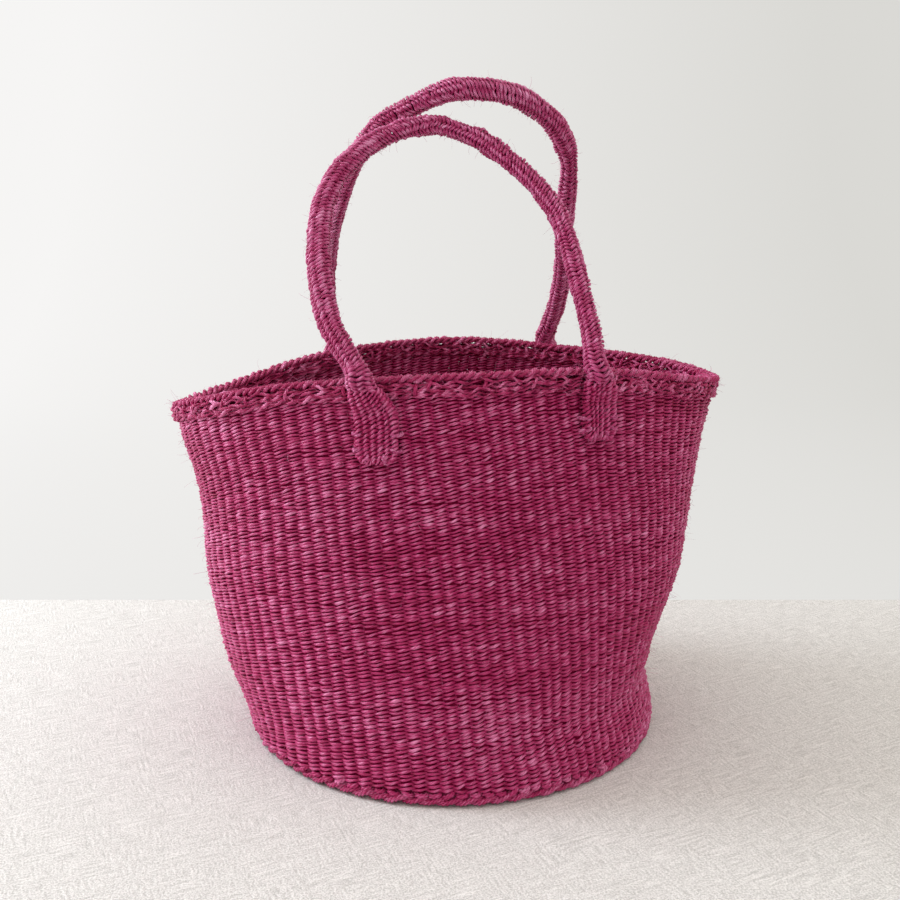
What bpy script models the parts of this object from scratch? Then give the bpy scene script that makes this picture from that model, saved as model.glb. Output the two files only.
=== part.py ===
# Kiondo basket: a soft twined sisal basket with two rope handles.
# Metres, +Z up. The origin is the middle of the base, where it rests on the floor.
# +X is the right of the basket, -Y is its front.

import math
from collections import namedtuple

import bpy
import bmesh
from mathutils import Matrix, Vector

# Foot and mouth
FOOT_LEFT = 0.1255              # centre to the left side of the ridge round the foot
FOOT_RIGHT = 0.1285             # centre to its right side
FOOT_HALF_DEPTH = 0.1315        # centre to its front and back
WALL_STEP = 0.0007              # how far the wall's lower edge stands out over the ridge
MOUTH_LEFT = 0.170              # centre to the left corner of the mouth, over the rim band
MOUTH_RIGHT = 0.164             # centre to the right corner
MOUTH_HALF_DEPTH = 0.095        # centre to the front and the back of the mouth
RIM_HEIGHT = 0.231              # floor to the highest point of the rim
WALL_THICKNESS = 0.0045
GAP = 0.0003                    # clearance between pieces that touch

# Base
DISC_THICKNESS = 0.0050
BORDER_WIDTH = 0.0065
BORDER_HEIGHT = 0.0055
BORDER_ROUND = 0.0014
START_RADIUS = 0.0140
START_HEIGHT = 0.0028
START_CROWN_SHARE = 0.55        # radius of the raised middle of the start

# Rim
BAND_HEIGHT = 0.0115
BAND_THICKNESS = 0.0022
BAND_ROUND = 0.0025
BAND_CORNER_SHARE = 0.3         # how far the band's rounded corner stays from the square one
RIM_CORD_DIAMETER = 0.0042

# Handles
ROPE_DIAMETER = 0.0124
CORE_DIAMETER = 0.0062
FRONT_RISE = 0.1572             # rim to the top of the front handle, measured in its own plane
BACK_RISE = 0.1819
FRONT_LEAN = math.radians(33.0)
BACK_LEAN = math.radians(32.3)
SEAT_GAP = 0.0006               # rope to the rim that it bends over
PART_GAP = 0.0004               # between a handle's end and the fixed end below it
HINGE_STANDOFF = 0.0010         # hinge axis beyond the rope's outer side

# Flat ends of the handles, sewn to the wall
TAB_THICKNESS = 0.0048
TAB_CLEAR = 0.0010              # the tab starts to step down this far below the rim band
TAB_STEP = 0.0055               # height over which it steps down on to the wall
TAB_FOOT_ROUND_SHARE = 0.35     # rounding at the foot, as a share of the tab's width
TWINE_DIAMETER = 0.0016
HOLE_CLEARANCE = 0.0003
STITCH_INSET = 0.0030           # hole in the tab to the tab's edge
STITCH_OVERHANG = 0.0016        # tab's edge to the hole in the wall beside it
STITCH_BEND = 0.0009            # rounding of the twine where it turns
STITCH_LIFT = 0.0013            # middle of the twine above the face that it lies on
STITCH_TAIL = 0.0040
STITCH_BEND_SHARE = 0.45        # most of a short stretch of twine that its rounding takes
SEWN_SHARE = 0.62               # part of the tab's sides that is sewn, from the foot up
FRONT_LEFT_TAB_WIDTH = 0.0226
FRONT_LEFT_TAB_DROP = 0.0440    # top of the rim to the tab's foot
FRONT_RIGHT_TAB_WIDTH = 0.0180
FRONT_RIGHT_TAB_DROP = 0.0375
BACK_LEFT_TAB_WIDTH = 0.0210
BACK_LEFT_TAB_DROP = 0.0420
BACK_RIGHT_TAB_WIDTH = 0.0200
BACK_RIGHT_TAB_DROP = 0.0400

# How finely the round shapes are cut
AROUND = 64
START_SIDES = 16
ROPE_SIDES = 10
ROPE_RINGS = 36
TAB_SIDES = 12
THIN_SIDES = 6
TWINE_SIDES = 5
STITCHES = 6
CUT_OVERRUN = 0.0020            # holes are cut this far past the faces
SHARP_ANGLE = math.radians(50)  # edges bent more than this are shown sharp
WALL_SEARCHES = 4               # rounds in which a sideways place settles on the wall's curve
LENGTH_STEPS = 8                # steps in which each stretch of a rope is measured

# Height of the rim round the mouth, every 30 degrees from the right corner by way of the back
RIM_HEIGHT_SHARES = (0.938, 0.958, 0.979, 1.000, 0.964, 0.890, 0.866, 0.904, 0.961, 0.988, 0.994, 0.958)

# Wall outline: share of the rim's height, and share of the way from the foot's reach to the mouth's
LEFT_REACH_SHARES = ((0.00, 0.00), (0.09, 0.09), (0.22, 0.35), (0.36, 0.50), (0.49, 0.62),
                     (0.63, 0.65), (0.76, 0.72), (0.89, 0.91), (1.00, 1.00))
RIGHT_REACH_SHARES = ((0.00, 0.00), (0.05, -0.03), (0.11, -0.12), (0.16, -0.20), (0.21, -0.12),
                      (0.28, 0.00), (0.34, 0.14), (0.46, 0.42), (0.59, 0.55), (0.71, 0.64),
                      (0.83, 0.76), (0.95, 0.93), (1.00, 1.00))
WALL_LEVEL_SHARES = (0.00, 0.04, 0.09, 0.14, 0.20, 0.29, 0.40, 0.52, 0.64, 0.76, 0.89, 1.00)

# Handle routes from the left end to the right one: share of the span, and share of the rise
FRONT_ROUTE_SHARES = ((0.000, 0.000), (-0.054, 0.086), (-0.105, 0.170), (-0.134, 0.265), (-0.149, 0.375),
                      (-0.156, 0.492), (-0.147, 0.598), (-0.118, 0.700), (-0.062, 0.796), (0.016, 0.873),
                      (0.100, 0.930), (0.190, 0.968), (0.285, 0.992), (0.403, 0.998), (0.517, 0.961),
                      (0.617, 0.912), (0.710, 0.839), (0.798, 0.762), (0.865, 0.677), (0.914, 0.592),
                      (0.947, 0.468), (0.964, 0.379), (0.979, 0.269), (0.994, 0.167), (1.002, 0.083),
                      (1.000, 0.000))
BACK_ROUTE_SHARES = ((0.000, 0.000), (-0.020, 0.133), (-0.021, 0.245), (-0.010, 0.332), (0.009, 0.424),
                     (0.036, 0.510), (0.065, 0.587), (0.096, 0.651), (0.128, 0.717), (0.172, 0.784),
                     (0.230, 0.847), (0.302, 0.901), (0.397, 0.940), (0.487, 0.975), (0.575, 0.996),
                     (0.662, 0.998), (0.750, 0.990), (0.840, 0.965), (0.924, 0.918), (0.992, 0.862),
                     (1.037, 0.795), (1.058, 0.725), (1.058, 0.628), (1.054, 0.527), (1.058, 0.414),
                     (1.064, 0.321), (1.057, 0.226), (1.038, 0.126), (1.000, 0.000))

# Sideways places are shares of the mouth's half width on that side
Tab = namedtuple("Tab", "name rim_place_share foot_place_share width drop")
Handle = namedtuple("Handle", "name side rise lean route_shares tabs")
HANDLES = (
    Handle("front", -1, FRONT_RISE, FRONT_LEAN, FRONT_ROUTE_SHARES,
           (Tab("left", -0.288, -0.226, FRONT_LEFT_TAB_WIDTH, FRONT_LEFT_TAB_DROP),
            Tab("right", 0.474, 0.482, FRONT_RIGHT_TAB_WIDTH, FRONT_RIGHT_TAB_DROP))),
    Handle("back", 1, BACK_RISE, BACK_LEAN, BACK_ROUTE_SHARES,
           (Tab("left", -0.469, -0.450, BACK_LEFT_TAB_WIDTH, BACK_LEFT_TAB_DROP),
            Tab("right", 0.410, 0.395, BACK_RIGHT_TAB_WIDTH, BACK_RIGHT_TAB_DROP))),
)

# Where a tab's cross sections lie and how wide and thick they are there
BEND_SHARES = (1.0, 0.5, 0.0)            # share of the lean, down the bend over the rim
BEND_WIDTH_SHARES = (0.0, 0.08, 0.22)    # share of the way from the rope's width to the tab's
BEND_DEPTH_SHARES = (0.0, 0.06, 0.20)    # share of the way from the rope's thickness to the tab's
NECK_WIDTH_SHARES = (0.60, 0.92)
NECK_DEPTH_SHARES = (0.58, 0.88)
NECK_PLACE_SHARE = 0.55                  # the upper neck section, as a share of the band's height
FOOT_TURNS = (math.radians(0), math.radians(35), math.radians(62), math.radians(80))
ROUND_POWER = 2                          # cross section of the rope: an ellipse
FLAT_POWER = 4                           # cross section of the flat part: a rounded oblong
BODY_PLACE_SHARE = 0.5                   # the section between the neck and the foot

MAGENTA = (0.43, 0.045, 0.16, 1.0)
DEEP_MAGENTA = (0.30, 0.022, 0.10, 1.0)
SISAL_ROUGHNESS = 0.72


def clear_scene():
    for item in list(bpy.data.objects):
        bpy.data.objects.remove(item, do_unlink=True)


def fabric(name, colour):
    material = bpy.data.materials.new(name)
    material.use_nodes = True
    shader = material.node_tree.nodes["Principled BSDF"]
    shader.inputs["Base Color"].default_value = colour
    shader.inputs["Roughness"].default_value = SISAL_ROUGHNESS
    shader.inputs["Metallic"].default_value = 0.0
    return material


def add_object(name, shape, colour=MAGENTA):
    """Turn a finished bmesh into a named object with its own material."""
    bmesh.ops.recalc_face_normals(shape, faces=shape.faces[:])
    mesh = bpy.data.meshes.new(name)
    shape.to_mesh(mesh)
    shape.free()
    mesh.shade_smooth()
    mesh.set_sharp_from_angle(angle=SHARP_ANGLE)
    mesh.materials.append(fabric(name, colour))
    item = bpy.data.objects.new(name, mesh)
    bpy.context.scene.collection.objects.link(item)
    return item


def skin(shape, rings, closed=False):
    """Join neighbouring rings with quads and return the rings' vertices."""
    rows = [[shape.verts.new(point) for point in ring] for ring in rings]
    pairs = list(zip(rows, rows[1:]))
    if closed:
        pairs.append((rows[-1], rows[0]))
    for low, high in pairs:
        for k in range(len(low)):
            after = (k + 1) % len(low)
            shape.faces.new((low[k], low[after], high[after], high[k]))
    return rows


def solid_loft(name, rings, colour=MAGENTA):
    """A loft through the rings, closed by a flat cap at each end."""
    shape = bmesh.new()
    rows = skin(shape, rings)
    shape.faces.new(rows[0])
    shape.faces.new(rows[-1])
    return add_object(name, shape, colour)


def ring_loft(name, rings, colour=MAGENTA):
    """A loft through rings that come round to the first one again."""
    shape = bmesh.new()
    skin(shape, rings, closed=True)
    return add_object(name, shape, colour)


def tube_loft(name, outer_rings, bore_rings, colour=MAGENTA):
    """A tube: an outer skin and a bore, joined by a flat collar at each end."""
    shape = bmesh.new()
    outer = skin(shape, outer_rings)
    bore = skin(shape, bore_rings)
    for rim, hole in ((outer[0], bore[0]), (outer[-1], bore[-1])):
        for k in range(len(rim)):
            after = (k + 1) % len(rim)
            shape.faces.new((rim[k], rim[after], hole[after], hole[k]))
    return add_object(name, shape, colour)


def blend(start, end, share):
    return start + (end - start) * share


def ease(share):
    share = min(max(share, 0.0), 1.0)
    return share * share * (3 - 2 * share)


def curve_through(points, share):
    """A smooth curve through the points, from the first (share 0) to the last (share 1)."""
    place = min(max(share, 0.0), 1.0) * (len(points) - 1)
    k = min(int(place), len(points) - 2)
    t = place - k
    before, start, end, after = (points[max(k - 1, 0)], points[k], points[k + 1],
                                 points[min(k + 2, len(points) - 1)])
    return 0.5 * (2 * start + (end - before) * t + (2 * before - 5 * start + 4 * end - after) * t ** 2
                  + (3 * start - before - 3 * end + after) * t ** 3)


def table_value(table, place):
    """Read a table of (place, value) pairs along a smooth curve."""
    last = len(table) - 1
    k = max([n for n in range(last) if table[n][0] <= place], default=0)
    slopes = []
    for n in (k, k + 1):
        low, high = table[max(n - 1, 0)], table[min(n + 1, last)]
        slopes.append((high[1] - low[1]) / (high[0] - low[0]))
    step = table[k + 1][0] - table[k][0]
    t = (place - table[k][0]) / step
    rise = table[k + 1][1] - table[k][1]
    start = slopes[0] * step
    end = slopes[1] * step
    return table[k][1] + start * t + (3 * rise - 2 * start - end) * t ** 2 + (start + end - 2 * rise) * t ** 3


def rim_height(angle):
    """Height of the rim's top round the mouth."""
    count = len(RIM_HEIGHT_SHARES)
    place = (angle / math.tau) % 1.0 * count
    k = int(place)
    near = [RIM_HEIGHT_SHARES[(k + n) % count] for n in (-1, 0, 1, 2)]
    return RIM_HEIGHT * curve_through(near, (1 + place - k) / 3)


def oval_out(width, depth, angle):
    """Level direction straight out of an oval."""
    return Vector((depth * math.cos(angle), width * math.sin(angle), 0.0)).normalized()


def oval_point(width, depth, angle, height, out=0.0):
    """A point on an oval, or moved level out of it (negative is inwards)."""
    face = Vector((width * math.cos(angle), depth * math.sin(angle), height))
    return face + oval_out(width, depth, angle) * out


def foot_point(angle, height, out=0.0):
    """A point on the outside of the ridge round the foot, or moved out of it."""
    width = FOOT_LEFT if math.cos(angle) < 0 else FOOT_RIGHT
    return oval_point(width, FOOT_HALF_DEPTH, angle, height, out)


def half_widths(angle, height):
    """Half width and half depth of the wall's outer face in the level cut at this height."""
    share = height / rim_height(angle)
    proud = BAND_THICKNESS + GAP
    if math.cos(angle) < 0:
        foot, mouth, width_share = FOOT_LEFT, MOUTH_LEFT, table_value(LEFT_REACH_SHARES, share)
    else:
        foot, mouth, width_share = FOOT_RIGHT, MOUTH_RIGHT, table_value(RIGHT_REACH_SHARES, share)
    width = blend(foot + WALL_STEP, mouth - proud, width_share)
    depth = blend(FOOT_HALF_DEPTH + WALL_STEP, MOUTH_HALF_DEPTH - proud, share)
    return width, depth


def wall_out(angle, height):
    """Level direction straight out of the wall."""
    return oval_out(*half_widths(angle, height), angle)


def wall_point(angle, height, out=0.0):
    """A point on the wall's outer face, or moved level out of it (negative is inwards)."""
    return oval_point(*half_widths(angle, height), angle, height, out)


def wall_angle(x, height, side):
    """Angle at which the front (side -1) or back (side 1) of the wall passes x."""
    width = MOUTH_LEFT
    for _ in range(WALL_SEARCHES):
        angle = side * math.acos(max(-1.0, min(1.0, x / width)))
        width = half_widths(angle, height)[0]
    return side * math.acos(max(-1.0, min(1.0, x / width)))


def angles(count=AROUND):
    return [math.tau * k / count for k in range(count)]


def level_ring(height_of, out):
    """Points all round the wall at the heights that height_of gives for each angle."""
    return [wall_point(angle, height_of(angle), out) for angle in angles()]


def wall_top(angle):
    """Top edge of the wall, under the cord that fills the rim band."""
    return rim_height(angle) - BAND_THICKNESS - 2 * GAP - RIM_CORD_DIAMETER


def make_base():
    edge = -BORDER_WIDTH - GAP
    solid_loft("base_disc", [[foot_point(a, z, edge) for a in angles()] for z in (0.0, DISC_THICKNESS)])
    low = DISC_THICKNESS + GAP
    start_rings = []
    for share, z in ((1.0, low), (1.0, low + START_HEIGHT / 2), (START_CROWN_SHARE, low + START_HEIGHT)):
        reach = START_RADIUS * share
        start_rings.append([oval_point(reach, reach, a, z) for a in angles(START_SIDES)])
    solid_loft("base_start", start_rings, DEEP_MAGENTA)
    outline = ((-BORDER_WIDTH, 0.0), (-BORDER_ROUND, 0.0), (0.0, BORDER_ROUND),
               (0.0, BORDER_HEIGHT - BORDER_ROUND), (-BORDER_ROUND, BORDER_HEIGHT),
               (-BORDER_WIDTH, BORDER_HEIGHT))
    ring_loft("base_border", [[foot_point(a, z, out) for out, z in outline] for a in angles()], DEEP_MAGENTA)


def make_wall():
    """One closed shell: up the outer face, over the top edge and down the inner face."""
    low = BORDER_HEIGHT + GAP
    rings = []
    for out, shares in ((0.0, WALL_LEVEL_SHARES), (-WALL_THICKNESS, WALL_LEVEL_SHARES[::-1])):
        for share in shares:
            rings.append(level_ring(lambda a: low + (wall_top(a) - low) * share, out))
    return ring_loft("wall", rings)


def make_rim():
    cord = RIM_CORD_DIAMETER / 2
    rings = []
    for angle in angles():
        out = wall_out(angle, rim_height(angle))
        middle = wall_point(angle, wall_top(angle) + GAP + cord, -WALL_THICKNESS / 2)
        turns = [math.tau * k / THIN_SIDES for k in range(THIN_SIDES)]
        rings.append([middle + cord * (out * math.cos(t) + Vector((0, 0, math.sin(t)))) for t in turns])
    ring_loft("rim_core", rings, DEEP_MAGENTA)
    outer = GAP + BAND_THICKNESS
    inner = -WALL_THICKNESS - GAP - BAND_THICKNESS
    corner = BAND_ROUND * BAND_CORNER_SHARE
    outline = ((outer, -BAND_HEIGHT), (outer, -BAND_ROUND), (outer - corner, -corner),
               (outer - BAND_ROUND, 0), (inner + BAND_ROUND, 0), (inner + corner, -corner),
               (inner, -BAND_ROUND), (inner, -BAND_HEIGHT),
               (inner + BAND_THICKNESS, -BAND_HEIGHT), (inner + BAND_THICKNESS, -BAND_THICKNESS),
               (outer - BAND_THICKNESS, -BAND_THICKNESS), (outer - BAND_THICKNESS, -BAND_HEIGHT))
    ring_loft("rim_binding", [[wall_point(a, rim_height(a) + up, out) for out, up in outline]
                              for a in angles()], DEEP_MAGENTA)


def rim_corner(angle):
    """Middle of the rounding of the rim band's outer top corner."""
    return wall_point(angle, rim_height(angle) - BAND_ROUND, GAP + BAND_THICKNESS - BAND_ROUND)


class Seat:
    """The place where one end of a handle bends over the rim."""

    def __init__(self, handle, tab):
        self.angle = handle.side * math.acos(tab.rim_place_share)
        self.top = rim_height(self.angle)
        self.centre = rim_corner(self.angle)


class Hinge:
    """The line that one handle turns about, and the directions that go with it."""

    def __init__(self, handle):
        seats = [Seat(handle, tab) for tab in handle.tabs]
        chord = seats[1].centre - seats[0].centre
        self.handle = handle
        self.seats = seats
        self.span = chord.length
        self.along = chord.normalized()
        level = Vector((0, 0, 1)).cross(self.along)
        self.outward = level.normalized() * (1 if level.y * handle.side > 0 else -1)
        up = self.along.cross(self.outward)
        self.up = up if up.z > 0 else -up

    def radial(self, turn):
        """Direction out of the rim's corner, turned up from level."""
        return self.outward * math.cos(turn) + self.up * math.sin(turn)

    def rise(self):
        """Direction up the leaning handle."""
        return self.up * math.cos(self.handle.lean) - self.outward * math.sin(self.handle.lean)

    def rope_centre(self, end, turn=None, depth=ROPE_DIAMETER):
        turn = self.handle.lean if turn is None else turn
        return self.seats[end].centre + self.radial(turn) * (BAND_ROUND + SEAT_GAP + depth / 2)

    def axis_point(self, end):
        reach = ROPE_DIAMETER / 2 + HINGE_STANDOFF
        return self.rope_centre(end) + self.radial(self.handle.lean) * reach

    def slope(self, end):
        """Sideways travel of the rope for each metre up the handle, where it leaves the rim."""
        route = self.handle.route_shares
        here, there = (route[0], route[1]) if end == 0 else (route[-1], route[-2])
        return (there[0] - here[0]) * self.span / ((there[1] - here[1]) * self.handle.rise)

    def matrix(self):
        """Frame with its origin on the axis, X along the axis and Z up."""
        middle = (self.axis_point(0) + self.axis_point(1)) / 2
        across = self.up.cross(self.along)
        axes = Matrix((self.along, across, self.up)).transposed().to_4x4()
        return Matrix.Translation(middle) @ axes


def even_places(points, count):
    """Shares at which a smooth curve through the points is cut into equal lengths."""
    fine = count * LENGTH_STEPS
    line = [curve_through(points, k / fine) for k in range(fine + 1)]
    lengths = [0.0]
    for start, end in zip(line, line[1:]):
        lengths.append(lengths[-1] + (end - start).length)
    places = []
    k = 0
    for n in range(count + 1):
        target = lengths[-1] * n / count
        while k < fine - 1 and lengths[k + 1] < target:
            k += 1
        places.append((k + (target - lengths[k]) / (lengths[k + 1] - lengths[k])) / fine)
    return places


def rope_rings(hinge, diameter):
    """Rings along a handle, whose two end rings lie flat in the plane that parts it from its ends."""
    base = hinge.rope_centre(0) + hinge.rise() * PART_GAP / 2
    route = [base + hinge.along * (a * hinge.span) + hinge.rise() * (b * hinge.handle.rise)
             for a, b in hinge.handle.route_shares]
    thick = hinge.radial(hinge.handle.lean)
    places = even_places(route, ROPE_RINGS)
    line = [curve_through(route, place) for place in places]
    radius = diameter / 2
    rings = []
    for k, centre in enumerate(line):
        tangent = (line[min(k + 1, ROPE_RINGS)] - line[max(k - 1, 0)]).normalized()
        wide = thick.cross(tangent).normalized()
        if k in (0, ROPE_RINGS):
            end = 0 if k == 0 else 1
            stretch = math.hypot(1.0, hinge.slope(end))
            wide = hinge.along * (stretch if wide.dot(hinge.along) > 0 else -stretch)
        turns = [math.tau * (n + 0.5) / ROPE_SIDES for n in range(ROPE_SIDES)]
        rings.append([centre + radius * (wide * math.cos(t) + thick * math.sin(t)) for t in turns])
    return rings


def hang_on_hinge(item, hinge, name):
    """Give a finished world-space object the hinge empty as its parent, without moving it."""
    pivot = bpy.data.objects.get(name)
    if pivot is None:
        pivot = bpy.data.objects.new(name, None)
        bpy.context.scene.collection.objects.link(pivot)
        pivot.matrix_world = hinge.matrix()
    item.data.transform(hinge.matrix().inverted())
    item.parent = pivot


def make_rope(handle, hinge):
    bore = CORE_DIAMETER + 2 * GAP / math.cos(math.pi / ROPE_SIDES)
    core = solid_loft(handle.name + "_handle_core", rope_rings(hinge, CORE_DIAMETER), DEEP_MAGENTA)
    sleeve = tube_loft(handle.name + "_handle_sleeve", rope_rings(hinge, ROPE_DIAMETER),
                       rope_rings(hinge, bore))
    for item in (core, sleeve):
        hang_on_hinge(item, hinge, handle.name + "_hinge")


class TabShape:
    """Where one flat end of a handle lies on the wall."""

    def __init__(self, hinge, end):
        self.hinge = hinge
        self.end = end
        self.tab = hinge.handle.tabs[end]
        self.side = hinge.handle.side
        self.seat = hinge.seats[end]
        self.band_foot = self.seat.top - BAND_HEIGHT
        self.foot = self.seat.top - self.tab.drop
        mouth = MOUTH_LEFT if self.tab.foot_place_share < 0 else MOUTH_RIGHT
        self.foot_x = self.tab.foot_place_share * mouth
        self.rope = hinge.rope_centre(end)

    def middle_x(self, height):
        """Sideways place of the tab's middle line, which carries the rope's slant on to the wall."""
        settle = (self.rope.z - self.foot) * SEWN_SHARE
        drop = self.rope.z - height
        share = min(max(drop / settle, 0.0), 1.0)
        slant = -self.hinge.slope(self.end) * settle
        swing = slant * share * (1 - share) ** 2
        return blend(self.rope.x, self.foot_x, ease(share)) + swing

    def seat_out(self, height):
        """How far the tab's inner face stands out of the wall at this height."""
        over_band = GAP + BAND_THICKNESS + GAP
        share = (self.band_foot - TAB_CLEAR - height) / TAB_STEP
        return blend(over_band, GAP, ease(share))

    def point(self, across, height, out):
        """A point beside the tab's middle line, measured along the wall and out of it."""
        angle = wall_angle(self.middle_x(height), height, self.side)
        width, depth = half_widths(angle, height)
        pace = math.hypot(width * math.sin(angle), depth * math.cos(angle))
        return wall_point(angle - self.side * across / pace, height, out)

    def edge(self, share):
        """Across and height along the sewn edge, from the left side's top round the foot to the right's."""
        half = self.tab.width / 2
        round_height = self.tab.width * TAB_FOOT_ROUND_SHARE
        side_height = (self.band_foot - TAB_CLEAR - TAB_STEP - self.foot - round_height) * SEWN_SHARE
        curve = math.pi / 2 * math.hypot(half, round_height) / math.sqrt(2)
        total = 2 * (side_height + curve)
        place = abs(share - 0.5) * total
        left = -1 if share < 0.5 else 1
        if place < curve:
            turn = place / curve * math.pi / 2
            spot = Vector((half * math.sin(turn), round_height * (1 - math.cos(turn))))
            out = Vector((math.sin(turn) / half, -math.cos(turn) / round_height)).normalized()
        else:
            spot = Vector((half, round_height + place - curve))
            out = Vector((1.0, 0.0))
        return (Vector((left * spot.x, self.foot + spot.y)), Vector((left * out.x, out.y)))


def section(wide, thick, flat_share):
    """Points round a cross section that goes from the rope's (share 0) to the flat part's (share 1)."""
    points = []
    for k in range(TAB_SIDES):
        turn = math.tau * (k + 0.5) / TAB_SIDES
        c = math.cos(turn)
        s = math.sin(turn)
        power = ROUND_POWER / blend(ROUND_POWER, FLAT_POWER, flat_share)
        points.append((math.copysign(abs(c) ** power, c) * wide / 2,
                       math.copysign(abs(s) ** power, s) * thick / 2))
    return points


def make_tab(shape):
    hinge, tab = shape.hinge, shape.tab
    lean = hinge.handle.lean
    rings = []
    for bend, wide_share, deep_share in zip(BEND_SHARES, BEND_WIDTH_SHARES, BEND_DEPTH_SHARES):
        deep = blend(ROPE_DIAMETER, TAB_THICKNESS, deep_share)
        wide = blend(ROPE_DIAMETER * math.hypot(1.0, hinge.slope(shape.end)), tab.width, wide_share)
        drop = (BAND_ROUND + SEAT_GAP + deep / 2) * (math.sin(lean) - math.sin(lean * bend))
        x = shape.middle_x(shape.rope.z - drop)
        angle = wall_angle(x, shape.seat.top, shape.side)
        corner = blend(rim_corner(angle), shape.seat.centre + hinge.along * (x - shape.rope.x), bend)
        outward = blend(wall_out(angle, shape.seat.top), hinge.outward, bend).normalized()
        radial = outward * math.cos(lean * bend) + hinge.up * math.sin(lean * bend)
        centre = corner + radial * (BAND_ROUND + SEAT_GAP + deep / 2)
        across = radial.cross(hinge.rise() if bend == 1.0 else hinge.up).normalized()
        across *= math.copysign(1.0, across.dot(hinge.along))
        if bend == 1.0:
            centre -= hinge.rise() * PART_GAP / 2
        rings.append([centre + across * u + radial * v for u, v in section(wide, deep, deep_share)])
    round_height = tab.width * TAB_FOOT_ROUND_SHARE
    flat_top = shape.band_foot - TAB_CLEAR - TAB_STEP
    flat_foot = shape.foot + round_height
    places = [(shape.seat.top - BAND_HEIGHT * NECK_PLACE_SHARE, NECK_WIDTH_SHARES[0], NECK_DEPTH_SHARES[0]),
              (shape.band_foot - TAB_CLEAR, NECK_WIDTH_SHARES[1], NECK_DEPTH_SHARES[1]),
              (flat_top, 1.0, 1.0),
              (blend(flat_top, flat_foot, BODY_PLACE_SHARE), 1.0, 1.0)]
    stations = [(height, blend(ROPE_DIAMETER, tab.width, wide), blend(ROPE_DIAMETER, TAB_THICKNESS, deep),
                 deep) for height, wide, deep in places]
    for turn in FOOT_TURNS:
        deep = TAB_THICKNESS * (1 + math.cos(turn)) / 2
        stations.append((flat_foot - round_height * math.sin(turn), tab.width * math.cos(turn), deep, 1.0))
    for height, wide, deep, flat_share in stations:
        out = shape.seat_out(height) + deep / 2
        rings.append([shape.point(u, height, out + v) for u, v in section(wide, deep, flat_share)])
    return solid_loft("_".join((hinge.handle.name, "tab", tab.name)), rings)


def stitch_holes(shape):
    """Pairs of (across, height) for each stitch: the hole in the tab, and the hole beside the tab."""
    holes = []
    for k in range(STITCHES):
        spot, out = shape.edge((k + 0.5) / STITCHES)
        holes.append((spot - out * STITCH_INSET, spot + out * STITCH_OVERHANG))
    return holes


def stitch_route(shape):
    """Corners of the sewing twine: out through the tab, over its edge, in through the wall, and on."""
    over = GAP + TAB_THICKNESS + STITCH_LIFT
    under = -WALL_THICKNESS - STITCH_LIFT
    corners = []
    holes = stitch_holes(shape)
    first = holes[0][0] + (holes[0][0] - holes[0][1]).normalized() * STITCH_TAIL
    corners.append((first, under))
    for in_tab, beside in holes:
        corners += [(in_tab, under), (in_tab, over), (beside, over), (beside, under)]
    last = holes[-1][1] + (holes[-1][0] - holes[-1][1]).normalized() * STITCH_TAIL
    corners.append((last, under))
    return [shape.point(spot.x, spot.y, out) for spot, out in corners]


def rounded(points, bend):
    """Cut each inner corner of a route with two points, a short way before and after it."""
    route = [points[0]]
    for before, corner, after in zip(points, points[1:], points[2:]):
        for other in (before, after):
            step = other - corner
            route.append(corner + step.normalized() * min(bend, step.length * STITCH_BEND_SHARE))
    route.append(points[-1])
    return route


def thin_tube_rings(route, radius, sides):
    """Rings along a bent route, each in the plane that halves the bend."""
    rings = []
    tangents = [(b - a).normalized() for a, b in zip(route, route[1:])]
    side = tangents[0].orthogonal().normalized()
    for k, centre in enumerate(route):
        before, after = tangents[max(k - 1, 0)], tangents[min(k, len(tangents) - 1)]
        side = (side - before * side.dot(before)).normalized()
        other = before.cross(side)
        plane = (before + after).normalized()
        ring = []
        for n in range(sides):
            turn = math.tau * n / sides
            spoke = radius * (side * math.cos(turn) + other * math.sin(turn))
            ring.append(centre + spoke - before * (spoke.dot(plane) / before.dot(plane)))
        rings.append(ring)
    return rings


def hole_cutter(name, holes):
    """Straight pins, one for each (start, end), joined in one hidden object."""
    radius = (TWINE_DIAMETER / 2 + HOLE_CLEARANCE) / math.cos(math.pi / THIN_SIDES)
    shape = bmesh.new()
    for start, end in holes:
        rows = skin(shape, thin_tube_rings([start, end], radius, THIN_SIDES))
        shape.faces.new(rows[0])
        shape.faces.new(rows[-1])
    cutter = add_object(name, shape)
    cutter.hide_render = True
    cutter.display_type = "WIRE"
    return cutter


def cut(item, cutter):
    modifier = item.modifiers.new(cutter.name, "BOOLEAN")
    modifier.operation = "DIFFERENCE"
    modifier.solver = "EXACT"
    modifier.object = cutter


def make_stitching(shape):
    name = shape.hinge.handle.name + "_stitching_" + shape.tab.name
    route = rounded(stitch_route(shape), STITCH_BEND)
    return solid_loft(name, thin_tube_rings(route, TWINE_DIAMETER / 2, TWINE_SIDES), DEEP_MAGENTA)


def sew_on(shape, wall_holes):
    """Make a tab and its twine, cut the tab's holes and note the wall's."""
    tab = make_tab(shape)
    make_stitching(shape)
    inside = -WALL_THICKNESS - CUT_OVERRUN
    outside = GAP + TAB_THICKNESS + CUT_OVERRUN
    tab_holes = []
    for in_tab, beside in stitch_holes(shape):
        through = (shape.point(in_tab.x, in_tab.y, inside), shape.point(in_tab.x, in_tab.y, outside))
        tab_holes.append(through)
        wall_holes.append(through)
        wall_holes.append((shape.point(beside.x, beside.y, inside), shape.point(beside.x, beside.y, outside)))
    cut(tab, hole_cutter(tab.name + "_holes", tab_holes))


def main():
    clear_scene()
    make_base()
    wall = make_wall()
    make_rim()
    wall_holes = []
    for handle in HANDLES:
        hinge = Hinge(handle)
        make_rope(handle, hinge)
        for end in (0, 1):
            sew_on(TabShape(hinge, end), wall_holes)
    cut(wall, hole_cutter("wall_holes", wall_holes))


main()
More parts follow.
